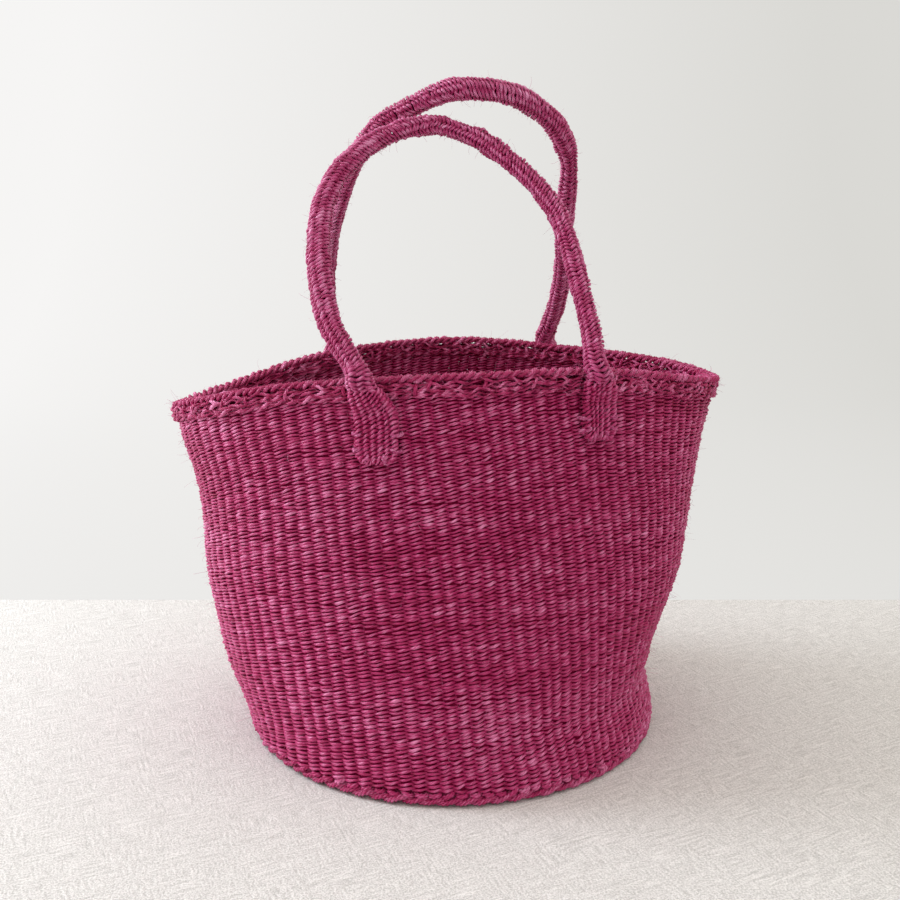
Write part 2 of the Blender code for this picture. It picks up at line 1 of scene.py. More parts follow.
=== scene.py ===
# %% [markdown]
# # A kiondo, strand by strand
# A kiondo is a soft shopping basket that is twined by hand from sisal, the leaf fibre of an agave.
# This one is dyed magenta. Nothing on it is sawn, moulded or screwed: it is all one kind of yarn, laid
# round and round. So this lesson builds the yarn itself, and lets the light find the ribs and the
# grooves, instead of painting them on a smooth bucket.
#
# The solid model is loaded first. It fixes every size and place, and this file only dresses it.

# %% Load the fixed frame
import math
from collections import namedtuple

import bpy
import numpy as np
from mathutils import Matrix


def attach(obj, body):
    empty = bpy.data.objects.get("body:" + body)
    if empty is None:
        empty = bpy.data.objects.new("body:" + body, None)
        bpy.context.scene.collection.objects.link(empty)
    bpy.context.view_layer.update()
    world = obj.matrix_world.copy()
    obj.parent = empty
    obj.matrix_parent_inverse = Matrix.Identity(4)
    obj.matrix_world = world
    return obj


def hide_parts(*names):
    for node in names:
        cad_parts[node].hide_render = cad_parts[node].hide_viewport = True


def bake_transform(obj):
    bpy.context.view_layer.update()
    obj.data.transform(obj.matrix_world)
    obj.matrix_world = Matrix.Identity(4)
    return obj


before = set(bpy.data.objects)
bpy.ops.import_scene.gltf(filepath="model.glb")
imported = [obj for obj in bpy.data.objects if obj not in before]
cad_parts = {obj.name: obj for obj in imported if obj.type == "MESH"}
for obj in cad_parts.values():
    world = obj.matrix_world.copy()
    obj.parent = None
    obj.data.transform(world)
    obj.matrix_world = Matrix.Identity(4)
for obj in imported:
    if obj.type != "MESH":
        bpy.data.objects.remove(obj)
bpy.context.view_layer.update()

# %% [markdown]
# ## Camera
# The photograph looks slightly down on the basket from in front. The view angle was found from the
# ellipse of the base and from the way the rim foreshortens. Blender keeps a camera's lens in
# millimetres on a 36 mm sensor, so the view angle is turned into a lens.

# %% Stand the camera where the photographer stood
camera_data = bpy.data.cameras.new("photographer")
camera = bpy.data.objects.new("photographer", camera_data)
bpy.context.scene.collection.objects.link(camera)
bpy.context.scene.camera = camera
camera_data.lens = 36.0 * 1075 / 900
camera.location = (0.0, -0.654, 0.298)
camera.rotation_euler = (math.radians(90 - 11.2), 0.0, 0.0)
print("lens: %.1f mm" % camera_data.lens)

# %% [markdown]
# ## The shape of the wall
# The basket was woven as a straight tube on a round base and then pressed flat at the mouth, so each
# level cut is an oval: wide and shallow at the top, nearly round at the foot. The girth stays the same
# on the way up, which is what makes it look like cloth and not like a bucket. These are the sizes
# of the solid wall, and its left and right outlines with the soft dent low on the right.

# %% Sizes of the wall and the rim, in metres
FOOT_LEFT, FOOT_RIGHT, FOOT_DEPTH = 0.1255, 0.1285, 0.1315
MOUTH_LEFT, MOUTH_RIGHT, MOUTH_DEPTH = 0.170, 0.164, 0.095
WALL_STEP, WALL_THICKNESS, GAP = 0.0007, 0.0045, 0.0003
RIM_HEIGHT, BAND_HEIGHT, BAND_THICKNESS, BAND_ROUND = 0.231, 0.0115, 0.0022, 0.0025
BORDER_WIDTH, BORDER_HEIGHT, DISC_THICKNESS = 0.0065, 0.0055, 0.005
RIM_HEIGHT_SHARES = (0.938, 0.958, 0.979, 1.000, 0.964, 0.890, 0.866, 0.904, 0.961, 0.988, 0.994, 0.958)
LEFT_REACH_SHARES = ((0.00, 0.00), (0.09, 0.09), (0.22, 0.35), (0.36, 0.50), (0.49, 0.62),
                     (0.63, 0.65), (0.76, 0.72), (0.89, 0.91), (1.00, 1.00))
RIGHT_REACH_SHARES = ((0.00, 0.00), (0.05, -0.03), (0.11, -0.12), (0.16, -0.20), (0.21, -0.12),
                      (0.28, 0.00), (0.34, 0.14), (0.46, 0.42), (0.59, 0.55), (0.71, 0.64),
                      (0.83, 0.76), (0.95, 0.93), (1.00, 1.00))


def blend(start, end, share):
    return start + (end - start) * share


def ease(share):
    share = np.clip(share, 0.0, 1.0)
    return share * share * (3 - 2 * share)


def through(places, values, at):
    """A smooth curve through values at given places. The values may be numbers, points or whole rings."""
    places, values, at = (np.asarray(item, float) for item in (places, values, at))
    last = len(places) - 1
    low, high = np.maximum(np.arange(last + 1) - 1, 0), np.minimum(np.arange(last + 1) + 1, last)
    wider = (1,) * (values.ndim - 1)
    slopes = (values[high] - values[low]) / (places[high] - places[low]).reshape((-1,) + wider)
    k = np.clip(np.searchsorted(places, at, side="right") - 1, 0, last - 1)
    step = (places[k + 1] - places[k]).reshape(at.shape + wider)
    t = (at - places[k]).reshape(at.shape + wider) / step
    rise = values[k + 1] - values[k]
    start, end = slopes[k] * step, slopes[k + 1] * step
    return values[k] + start * t + (3 * rise - 2 * start - end) * t ** 2 + (start + end - 2 * rise) * t ** 3


def table_value(table, place):
    return through(*zip(*table), place)


def rim_height(angle):
    """Height of the rim's top, which dips at the left where the basket is held flat."""
    count = len(RIM_HEIGHT_SHARES)
    place = (np.asarray(angle) / math.tau) % 1.0 * count
    k = place.astype(int)
    t = place - k
    heights = RIM_HEIGHT * np.array(RIM_HEIGHT_SHARES)
    before, start, end, after = (heights[(k + n) % count] for n in (-1, 0, 1, 2))
    return 0.5 * (2 * start + (end - before) * t + (2 * before - 5 * start + 4 * end - after) * t ** 2
                  + (3 * start - before - 3 * end + after) * t ** 3)


def half_widths(angle, height):
    share = height / rim_height(angle)
    proud = BAND_THICKNESS + GAP
    left = blend(FOOT_LEFT + WALL_STEP, MOUTH_LEFT - proud, table_value(LEFT_REACH_SHARES, share))
    right = blend(FOOT_RIGHT + WALL_STEP, MOUTH_RIGHT - proud, table_value(RIGHT_REACH_SHARES, share))
    return np.where(np.cos(angle) < 0, left, right), blend(FOOT_DEPTH + WALL_STEP, MOUTH_DEPTH - proud, share)


def wall_out(angle, height):
    """Level direction straight out of the wall."""
    width, depth = half_widths(angle, height)
    out = np.stack([depth * np.cos(angle), width * np.sin(angle), 0.0 * width], -1)
    return out / np.linalg.norm(out, axis=-1, keepdims=True)


def wall_point(angle, height, out=0.0):
    """A point on the wall's outer face, or moved level out of it (negative is inwards)."""
    angle, height, out = np.broadcast_arrays(angle, height, out)
    width, depth = half_widths(angle, height)
    face = np.stack([width * np.cos(angle), depth * np.sin(angle), height], -1)
    return face + wall_out(angle, height) * out[..., None]


fine = np.linspace(0, math.tau, 721)
for name, height in (("foot", 0.01), ("middle", 0.11), ("below the rim", 0.19)):
    loop = wall_point(fine, np.full_like(fine, height))
    print("girth at the %s: %.0f mm" % (name, 1000 * np.linalg.norm(np.diff(loop, axis=0), axis=1).sum()))

# %% [markdown]
# ## A skin to weave on
# Weavers work round a form. The form here is a grid of points: rows go up, columns go round. Asking
# it for a row and a share of the way round gives a point, the direction out of the cloth and
# the direction up the cloth. The columns are spaced by real distance, because a weaver keeps the
# ribs evenly spaced whatever the form does.


# %% The form that the yarn goes round
def unit(vectors):
    return vectors / np.maximum(np.linalg.norm(vectors, axis=-1, keepdims=True), 1e-12)


class Skin:
    """A grid of points, level by level, whose columns go once round."""

    def __init__(self, grid, longest_share=0.0):
        self.grid = np.asarray(grid, float)
        steps = np.linalg.norm(np.diff(self.grid, axis=0), axis=2)
        steps = blend(steps.mean(axis=1), steps.max(axis=1), longest_share)
        self.along = np.concatenate([[0.0], np.cumsum(steps)])
        self.length = self.along[-1]

    def ring(self, place):
        """Points once round at a distance along the skin."""
        place = np.clip(place, 0, self.length)
        k = min(max(int(np.searchsorted(self.along, place, side="right")) - 1, 0), len(self.along) - 2)
        return blend(self.grid[k], self.grid[k + 1], (place - self.along[k]) / (self.along[k + 1] - self.along[k]))

    def even(self, place, around):
        """Points at even shares of the way round."""
        ring = self.ring(place)
        ring = np.vstack([ring, ring[:1]])
        reach = np.concatenate([[0.0], np.cumsum(np.linalg.norm(np.diff(ring, axis=0), axis=1))])
        shares = reach / reach[-1]
        return np.stack([np.interp(around % 1.0, shares, ring[:, n]) for n in range(3)], -1)

    def rows(self, places, around):
        """Point, outward direction, upward direction and direction round, for each row and column."""
        near = self.length / 400
        spots = list(zip(places, np.broadcast_to(around, (len(places), np.shape(around)[-1]))))
        point = np.array([self.even(place, line) for place, line in spots])
        above = np.array([self.even(min(place + near, self.length), line) for place, line in spots])
        below = np.array([self.even(max(place - near, 0.0), line) for place, line in spots])
        up = unit(above - below)
        beside = unit(np.roll(point, -1, axis=1) - np.roll(point, 1, axis=1))
        out = unit(np.cross(beside, up))
        up = unit(np.cross(out, beside))
        return point, out, up, beside


# %% [markdown]
# ## Yarn
# Every strand on the basket is a tube whose section changes: it swells where it lies on top of a rib
# and is squeezed where it dives between two. A tube needs, for each of its rings, a middle point and two
# half axes. The mesh keeps three things for the material: how far each point lies along and round
# the yarn, so that the fibres can run with it, and a tint, because dyed yarn is never even. On twined
# strands the tint also holds painted shade, lighter on the crests and darker in the grooves.


# %% Make tubes out of rings
def smooth_noise(shape, seed, step):
    """Random values that change over about `step` rows and columns, and that close after the last column."""
    count = max(2, round(shape[1] / step[1]))
    coarse = np.random.default_rng(seed).standard_normal((int(shape[0] / step[0]) + 3, count))
    y = np.arange(shape[0]) / step[0]
    x = np.arange(shape[1]) * count / shape[1]
    i, j = y.astype(int), x.astype(int)
    u, v = ease(y - i)[:, None], ease(x - j)[None, :]
    near, far = j % count, (j + 1) % count
    top = blend(coarse[np.ix_(i, near)], coarse[np.ix_(i, far)], v)
    low = blend(coarse[np.ix_(i + 1, near)], coarse[np.ix_(i + 1, far)], v)
    return blend(top, low, u)


def tube_mesh(name, rings, tint, closed, strip_columns=1):
    """One mesh out of many tubes: rings[tube, ring, side] are points, tint[tube, ring] is 0 to 1."""
    tubes, count, sides, _ = rings.shape
    spans = count if closed else count - 1
    tube, ring, side = np.meshgrid(np.arange(tubes), np.arange(spans), np.arange(sides), indexing="ij")
    after, beside = (ring + 1) % count, (side + 1) % sides

    def index(r, s):
        return (tube * count + r) * sides + s

    quads = np.stack([index(ring, side), index(ring, beside), index(after, beside), index(after, side)], -1)
    quads = quads.reshape(-1, 4)
    mesh = bpy.data.meshes.new(name)
    loops = [quads.ravel()]
    sizes = [np.full(len(quads), 4)]
    if not closed:
        start = (np.arange(tubes) * count * sides)[:, None] + np.arange(sides)[::-1]
        end = (np.arange(tubes) * count * sides)[:, None] + (count - 1) * sides + np.arange(sides)
        loops += [start.ravel(), end.ravel()]
        sizes.append(np.full(2 * tubes, sides))
    loops, sizes = np.concatenate(loops), np.concatenate(sizes)
    mesh.vertices.add(tubes * count * sides)
    mesh.vertices.foreach_set("co", rings.astype(np.float32).ravel())
    mesh.loops.add(len(loops))
    mesh.loops.foreach_set("vertex_index", loops.astype(np.int32))
    mesh.polygons.add(len(sizes))
    mesh.polygons.foreach_set("loop_start", np.concatenate([[0], np.cumsum(sizes)[:-1]]).astype(np.int32))
    mesh.polygons.foreach_set("use_smooth", np.ones(len(sizes), bool))
    mesh.update(calc_edges=True)

    middle = rings.mean(axis=2)
    step = np.linalg.norm(np.roll(middle, -1, axis=1) - middle, axis=2)
    along = np.concatenate([np.zeros((tubes, 1)), np.cumsum(step, axis=1)], axis=1)
    girth = np.linalg.norm(np.roll(rings, -1, axis=2) - rings, axis=3).mean() * sides
    a0, a1 = along[tube, ring], along[tube, ring + 1]
    b0, b1 = side / sides, (side + 1) / sides
    real = np.stack([np.stack([a0, b0 * girth], -1), np.stack([a0, b1 * girth], -1),
                     np.stack([a1, b1 * girth], -1), np.stack([a1, b0 * girth], -1)], -2)
    shift = (np.arange(tubes) * 0.0137)[:, None, None, None]
    real = (real + np.stack([shift, shift * 0.37], -1)).reshape(-1, 2)
    piece = (ring * strip_columns) // spans
    low, high = ring * strip_columns / spans - piece, (ring + 1) * strip_columns / spans - piece
    strips = tubes * strip_columns
    base = (tube * strip_columns + piece + 0.06) / strips
    tall = 0.88 / strips
    packed = np.stack([np.stack([low, base + b0 * tall], -1), np.stack([low, base + b1 * tall], -1),
                       np.stack([high, base + b1 * tall], -1), np.stack([high, base + b0 * tall], -1)], -2)
    packed = packed.reshape(-1, 2)
    caps = len(loops) - len(real)
    if caps:
        real = np.concatenate([real, np.zeros((caps, 2))])
        packed = np.concatenate([packed, np.zeros((caps, 2))])
    mesh.uv_layers.new(name="OFBake").data.foreach_set("uv", packed.astype(np.float32).ravel())
    mesh.uv_layers.new(name="yarn").data.foreach_set("uv", (1000 * real).astype(np.float32).ravel())
    shade = mesh.attributes.new("tint", "FLOAT", "POINT")
    shade.data.foreach_set("value", np.repeat(tint.ravel(), sides).astype(np.float32))
    item = bpy.data.objects.new(name, mesh)
    bpy.context.scene.collection.objects.link(item)
    return item


def yarn_rings(middle, wide, thick, sides):
    """Rings round middle points, from two half axes given as vectors."""
    turn = (np.arange(sides) + 0.5) * math.tau / sides
    shape = (1,) * (middle.ndim - 1) + (sides, 1)
    return (middle[..., None, :] + wide[..., None, :] * np.cos(turn).reshape(shape)
            + thick[..., None, :] * np.sin(turn).reshape(shape))


def split_yarns(middle, wide, thick, sides, closed, count=3, lay=0.007):
    """Rings of the thinner yarns that a thick strand is laid up from."""
    steps = np.linalg.norm(np.roll(middle, -1, axis=-2) - middle, axis=-1)
    reach = np.concatenate([np.zeros(steps.shape[:-1] + (1,)), np.cumsum(steps, axis=-1)], axis=-1)
    total = reach[..., -1:] if closed else reach[..., -2:-1]
    turns = reach[..., :-1] / total * np.maximum(1, np.round(total / lay))
    rings = []
    for k in range(count):
        turn = (math.tau * (turns + k / count))[..., None]
        centre = middle + wide * 0.50 * np.cos(turn) + thick * 0.50 * np.sin(turn)
        rings.append(yarn_rings(centre, wide * 0.56, thick * 0.56, sides))
    return rings


# %% [markdown]
# ## Twining
# In twining two weft strands travel together. One passes over a rib while the other passes under it,
# they cross, and at the next rib they change places. Seen from outside each rib therefore carries one
# short fat stitch per row, tilted a little, and each groove holds a crossing. Written as waves,
# a strand's depth is the cosine and its height the sine of half a turn per rib, and the second strand is
# half a turn behind. The warps, which are the ribs' own cords, end up wholly covered.


# %% The twining itself
Twining = namedtuple("Twining", "depth rise plump tall pinch unruly lumps per_rib sides yarns")
# depth: how far a strand swings in and out; rise: how far it climbs; plump: half its thickness (metres);
# tall, pinch: its half height on a rib and between two ribs, as shares of the row's pitch
WALL_TWINING = Twining(0.00165, 0.00055, 0.00084, 0.43, 0.31, 1.45, 0.00008, 6, 6, 1)


def twine(name, skin, places, pitches, ribs, way, seed, part=slice(None), chevron=0.0, spread=None, swell=1.0,
          strips=2):
    """Twine two strands round the skin at the places, or at a part of them, and return one object."""
    samples, rib = ribs * way.per_rib, way.per_rib
    full = (len(places), samples)

    def uneven(number, step):
        return smooth_noise(full, seed + number, step)[part] * way.unruly

    def by_row(value):
        return (np.ones(len(places)) * value)[part, None]

    share = np.arange(samples) / samples
    places = np.asarray(places)
    around = share if spread is None else spread(share, places[part, None] / skin.length)
    point, out, up, beside = skin.rows(places[part], around)
    pitch, chevron, swell = by_row(pitches), by_row(chevron), by_row(swell)
    wander = uneven(0, (14, rib * 3)) * 0.0006
    drift = uneven(1, (3, rib * 5)) * 0.10 * pitch
    lump = uneven(50, (2.5, rib)) * way.lumps
    point = point + up * drift[..., None] + beside * wander[..., None] + out * lump[..., None]
    rings, tints = [], []
    for strand in (0, 1):
        rough = [uneven(10 * strand + n, (1, rib * 0.8)) for n in range(2, 6)]
        phase = math.pi * (share * ribs + strand)[None, :]
        over, swing = np.cos(phase), np.sin(phase) * (1 - 2 * strand * chevron)
        push = way.depth * over * (1 + 0.10 * rough[0]) * swell
        lift = way.rise * swing * (1 + 0.30 * rough[1]) + 0.05 * pitch * rough[2]
        middle = point + out * push[..., None] + up * lift[..., None]
        tall = pitch * (way.pinch + (way.tall - way.pinch) * over ** 2) * (1 + 0.09 * rough[3])
        flat = way.plump * (1.2 - 0.2 * over ** 2) * (1 + 0.08 * rough[0])
        axes = middle, up * tall[..., None], out * flat[..., None]
        if way.yarns == 1:
            rings.append(yarn_rings(*axes, way.sides))
        else:
            rings += split_yarns(*axes, way.sides, True, way.yarns)
        slow = smooth_noise(full, seed + 40 + strand, (1.5, samples / 4))[part]
        lot = smooth_noise(full, 7, (7, samples / 5))[part]
        # Painted shade: the last term makes each stitch lighter on a rib's crest and darker in the groove; the rest is
        # uneven dye.
        shade = 0.34 + 0.05 * rough[3] + 0.04 * rough[1] + 0.06 * slow + 0.07 * lot + 0.26 * over ** 2
        tints += [shade] * way.yarns
    return tube_mesh(name, np.concatenate(rings), np.clip(np.concatenate(tints), 0, 1), True, strips)


def plied(name, path, closed, plies, swing, radius, lay, seed, sides=6, upward=None, tint=0.5, yarns=3):
    """Twist plies round an evenly cut path into a cord, and return one object."""
    count = len(path)
    ahead, behind = (np.roll(path, -1, 0), np.roll(path, 1, 0)) if closed else (path[1:], path[:-1])
    tangent = unit(ahead - behind) if closed else unit(np.gradient(path, axis=0))
    if upward is None:
        side = [unit(np.cross(tangent[0], tangent[0][[1, 2, 0]]))]
        for way in tangent[1:]:
            side.append(unit(side[-1] - way * np.dot(side[-1], way)))
        side = np.array(side)
    else:
        side = unit(np.cross(tangent, upward))
    other = np.cross(side, tangent)
    steps = np.linalg.norm(np.diff(np.vstack([path, path[:1]]) if closed else path, axis=0), axis=1)
    reach = np.concatenate([[0.0], np.cumsum(steps)])
    turns = reach[:count] / (reach[-1] / max(1, round(reach[-1] / lay)))
    uneven = smooth_noise((plies, count), seed, (1, max(1.0, lay / steps.mean() / 2)))
    rings = []
    for k in range(plies):
        turn = (math.tau * (turns + k / plies) + 0.30 * uneven[k])[:, None]
        offset = side * np.cos(turn) + other * np.sin(turn)
        middle = path + offset * swing * (1 + 0.14 * uneven[k])[:, None]
        run = unit(np.roll(middle, -1, 0) - np.roll(middle, 1, 0)) if closed else unit(np.gradient(middle, axis=0))
        thick = unit(offset - run * (offset * run).sum(-1, keepdims=True))
        reach_out = radius * (1 + 0.11 * uneven[k])[:, None]
        rings += split_yarns(middle, np.cross(run, thick) * reach_out, thick * reach_out, sides, closed, yarns,
                             lay * 0.55)
    shade = np.clip(tint + 0.14 * np.repeat(uneven, yarns, axis=0), 0, 1)
    return tube_mesh(name, np.array(rings), shade, closed, 4 if closed else 1)


def even_path(points, step, closed=False):
    """Cut a line into equal steps."""
    points = np.vstack([points, points[:1]]) if closed else np.asarray(points)
    reach = np.concatenate([[0.0], np.cumsum(np.linalg.norm(np.diff(points, axis=0), axis=1))])
    count = max(6, round(reach[-1] / step))
    at = np.arange(count + (not closed)) * reach[-1] / count
    return np.stack([np.interp(at, reach, points[:, n]) for n in range(3)], -1)


# %% [markdown]
# ## Dyed sisal
# Sisal is a stiff, slightly waxy leaf fibre with a straw-like lustre. Twisted into yarn it shows
# fine lines along the strand, and the dye takes unevenly. The crest of a stitch is painted pink and
# the depth between stitches wine, as painted shade. The material therefore has three scales: the tint
# that each stitch got, which holds the uneven dye and that painted shade, streaks about a quarter of a
# millimetre wide that run along the yarn, and a slow change of dye over centimetres.


# %% Colours and the one function that adds a node
def dye(code):
    """An sRGB hex colour as linear values."""
    parts = [int(code[k:k + 2], 16) / 255 for k in (1, 3, 5)]
    return tuple(p / 12.92 if p <= 0.04045 else ((p + 0.055) / 1.055) ** 2.4 for p in parts) + (1.0,)


def add_node(tree, kind, inputs=None, **settings):
    """Add a node, set its properties, and fill or link its inputs."""
    node = tree.nodes.new(kind)
    for key, value in settings.items():
        setattr(node, key, value)
    for key, value in (inputs or {}).items():
        if isinstance(value, bpy.types.NodeSocket):
            tree.links.new(value, node.inputs[key])
        else:
            node.inputs[key].default_value = value
    return node


FIBRE_WIDTH = 0.55      # mm, drawn about twice as coarse as real sisal fibre so that it shows
FIBRE_RUN = 7.0         # mm, how far a streak can be followed along the yarn


def dyed_sisal(name, deep, middle, light, roughness=0.46, bump=0.8, sheen=0.03, specular=0.4):
    """Twisted sisal yarn: satin, streaked along its run, unevenly dyed."""
    material = bpy.data.materials.new(name)
    material.use_nodes = True
    tree = material.node_tree
    shader = tree.nodes["Principled BSDF"]
    yarn = add_node(tree, "ShaderNodeUVMap", uv_map="yarn")
    split = add_node(tree, "ShaderNodeSeparateXYZ", {0: yarn.outputs[0]})
    lay = add_node(tree, "ShaderNodeMath", {0: split.outputs[0], 1: 0.35, 2: split.outputs[1]},
                   operation="MULTIPLY_ADD")
    across = add_node(tree, "ShaderNodeMath", {0: lay.outputs[0], 1: 1 / FIBRE_WIDTH}, operation="MULTIPLY")
    run = add_node(tree, "ShaderNodeMath", {0: split.outputs[0], 1: 1 / FIBRE_RUN}, operation="MULTIPLY")
    place = add_node(tree, "ShaderNodeCombineXYZ", {0: run.outputs[0], 1: across.outputs[0]})
    streaks = add_node(tree, "ShaderNodeTexNoise", {"Vector": place.outputs[0], "Scale": 1.0, "Detail": 2.0,
                                                     "Roughness": 0.6})
    where = add_node(tree, "ShaderNodeTexCoord")
    patches = add_node(tree, "ShaderNodeTexNoise", {"Vector": where.outputs["Object"], "Scale": 22.0,
                                                     "Detail": 2.0})
    tint = add_node(tree, "ShaderNodeAttribute", attribute_name="tint")
    a = add_node(tree, "ShaderNodeMath", {0: streaks.outputs[0], 1: 1.7, 2: tint.outputs["Fac"]},
                 operation="MULTIPLY_ADD")
    b = add_node(tree, "ShaderNodeMath", {0: patches.outputs[0], 1: 0.4, 2: a.outputs[0]},
                 operation="MULTIPLY_ADD")
    level = add_node(tree, "ShaderNodeMapRange", {"Value": b.outputs[0], "From Min": 1.0, "From Max": 2.1})
    ramp = add_node(tree, "ShaderNodeValToRGB", {"Fac": level.outputs[0]})
    ramp.color_ramp.elements[0].color = dye(deep)
    ramp.color_ramp.elements[1].color = dye(light)
    ramp.color_ramp.elements.new(0.5).color = dye(middle)
    tree.links.new(ramp.outputs[0], shader.inputs["Base Color"])
    gloss = add_node(tree, "ShaderNodeMapRange", {"Value": streaks.outputs[0], "From Min": 0.3, "From Max": 0.7,
                                                  "To Min": roughness + 0.10, "To Max": roughness - 0.10})
    tree.links.new(gloss.outputs[0], shader.inputs["Roughness"])
    relief = add_node(tree, "ShaderNodeBump", {"Height": streaks.outputs[0], "Strength": bump,
                                               "Distance": 0.0005})
    tree.links.new(relief.outputs[0], shader.inputs["Normal"])
    shader.inputs["IOR"].default_value = 1.5
    shader.inputs["Specular IOR Level"].default_value = specular
    shader.inputs["Sheen Weight"].default_value = sheen
    shader.inputs["Sheen Roughness"].default_value = 0.40
    shader.inputs["Sheen Tint"].default_value = dye("#F0A8CC")
    return material


wall_sisal = dyed_sisal("twined sisal, magenta dye", "#970C44", "#B9266A", "#EC92C0")
rope_sisal = dyed_sisal("tightly twined sisal rope", "#940E48", "#B83072", "#F0A4CE", 0.42, 0.8, 0.03, 0.55)
rim_sisal = dyed_sisal("folded and plaited sisal", "#950C42", "#B42364", "#EA8EBC")
twine_sisal = dyed_sisal("sisal sewing twine", "#951249", "#B63474", "#E892BE")
# Painted shade: the warps are coloured far darker than the weft, so that the gaps between stitches, where only they
# show, look dark.
painted_shade_warp_sisal = dyed_sisal("sisal warp cords, seldom seen", "#62002A", "#740232", "#84083C", 0.8, 0.3, 0.0, 0.1)
fibre_sisal = dyed_sisal("loose sisal fibre", "#902058", "#BC4C82", "#DC8CB2", 0.6, 0.1, 0.0, 0.3)
print("materials:", len(bpy.data.materials))


def dress(item, material, body, *nodes):
    """Give a piece its finish and its body, and hide the solids that it stands for."""
    item.data.materials.append(material)
    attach(item, body)
    if nodes:
        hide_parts(*nodes)
    print("%s: %d faces" % (item.name, len(item.data.polygons)))
    return item


# %% [markdown]
# ## The wall
# Counted in the photograph, the rows are 2.3 mm apart near the foot and 2 mm apart under the rim, and
# there are 114 ribs, set a little closer on the right than on the left. That is more than twenty
# thousand stitches, so the wall is made in bands, as a weaver also thinks of it: a hand's breadth at a
# time. Below the first row the weaver turned the warps up from the base, which leaves a row of larger
# stitches with a small hole at every rib.

# %% Twine the wall, band by band
RIBS = 108
RIB_LEAN = 0.034        # the ribs lean, as the weave creeps round, by this share of the girth from foot to rim
ROWS = 106
WALL_LOW = BORDER_HEIGHT - 0.0006
WALL_BANDS = 10
AROUND = np.linspace(0, math.tau, 361)[:-1] - math.pi / 2


def rib_spread(share, level):
    """Where on the wall a rib stands, as a share of the way round, at a level from 0 (foot) to 1 (rim)."""
    turn = math.tau * share
    even = (share + 0.0190 * (np.cos(turn) - 1) + 0.0074 * np.sin(turn)
            + 0.0052 * (np.cos(2 * turn) - 1) - 0.0080 * np.sin(2 * turn))
    low_left = np.cos(np.clip((share - 0.75) / 0.14, -1, 1) * math.pi / 2) ** 2
    return (even - 0.0178 * (1 - level) * low_left + RIB_LEAN * (0.5 - level)) % 1.0


def wall_levels(low, high, out, count):
    """Rings of points up the wall from `low` above the floor to `high` below the rim's top."""
    top = rim_height(AROUND) - high
    return [wall_point(AROUND, low + (top - low) * level, out) for level in np.linspace(0, 1, count)]


wall_skin = Skin(wall_levels(WALL_LOW, 0.0075, -WALL_THICKNESS / 2, 60))
foot_row = 0.0032
level = (np.arange(ROWS) + 0.5) / ROWS
row_places = foot_row + (wall_skin.length - foot_row) * (level + 0.08 * level * (1 - level))
row_pitches = (wall_skin.length - foot_row) / ROWS * (1.08 - 0.16 * level)
print("wall: %d rows, %.2f to %.2f mm apart" % (ROWS, 1000 * row_pitches[-1], 1000 * row_pitches[0]))
for band, rows in enumerate(np.array_split(np.arange(ROWS), WALL_BANDS)):
    piece = twine("wall_weave_%d" % (band + 1), wall_skin, row_places, row_pitches, RIBS, WALL_TWINING,
                  seed=100, part=rows, spread=rib_spread)
    dress(piece, wall_sisal, "basket", "wall")


def angle_at(share, height):
    """Angle of a share of the way round, measured along the wall at a height."""
    edge = wall_point(AROUND, height)
    edge = np.vstack([edge, edge[:1]])
    reach = np.concatenate([[0.0], np.cumsum(np.linalg.norm(np.diff(edge, axis=0), axis=1))])
    return np.interp(np.asarray(share) % 1.0, reach / reach[-1], np.append(AROUND, AROUND[0] + math.tau))


def short_stitches(name, middle, radius, tint):
    """Short thick stitches along the lines middle[stitch, point]."""
    tangent = unit(np.gradient(middle, axis=1))
    across = unit(np.cross(tangent, unit(middle * (1, 1, 0))))
    thick = np.cross(across, tangent)
    radius = radius[:, None, None]
    rings = split_yarns(middle, across * radius * 1.1, thick * radius * 0.9, 6, False, 3, 0.012)
    tint = np.repeat(tint[:, None], middle.shape[1], axis=1)
    return tube_mesh(name, np.concatenate(rings), np.tile(tint, (3, 1)), False)


# %% The row of loops and holes above the foot
generator = np.random.default_rng(90)
run = np.linspace(0, 1, 12)[None, :]
half = generator.uniform(0.31, 0.43, RIBS)[:, None]
share = rib_spread((np.arange(RIBS)[:, None] + half * (2 * run - 1)) / RIBS, 0.0)
slant = generator.normal(0.0006, 0.0009, RIBS)[:, None]
height = 0.0066 + generator.normal(0, 0.0002, RIBS)[:, None] + slant * (2 * run - 1)
out = -0.0034 + 0.0024 * np.sin(math.pi * run) ** 0.5
piece = short_stitches("wall_foot_loops", wall_point(angle_at(share, np.full(len(AROUND), 0.0066)), height, out),
                       generator.uniform(0.00115, 0.00140, RIBS), generator.uniform(0.35, 0.75, RIBS))
dress(piece, wall_sisal, "basket", "wall")

# %% Warps inside the wall
level = np.linspace(0, 1, 80)
around = rib_spread(np.arange(RIBS) / RIBS, level[:, None])
point, out, up, beside = wall_skin.rows(level * wall_skin.length, around)
turned = [np.transpose(item, (1, 0, 2)) for item in (point, beside, out)]
spacing = np.linalg.norm(np.roll(turned[0], -1, axis=0) - turned[0], axis=-1)
narrow = ease((np.linspace(0, wall_skin.length, 80) - 0.0040) / 0.0020)
wide = blend(0.0011, 0.56 * spacing, narrow[None, :])[..., None]
rings = yarn_rings(turned[0] - turned[2] * 0.0001, turned[1] * wide, turned[2] * 0.0008, 6)
warps = tube_mesh("wall_warps", rings, np.full(rings.shape[:2], 0.3), False, 1)
dress(warps, painted_shade_warp_sisal, "basket", "wall")

# %% [markdown]
# ## The base
# The base is the same weave lying flat. It starts in the middle with two sets of cords that cross like
# a plain cloth, and then it is twined round and round. New warps are laid in as it grows, so the
# number of ribs doubles twice on the way out.

# %% The start in the middle
START_RADIUS = 0.0140
CORD_SPACING = 0.0036


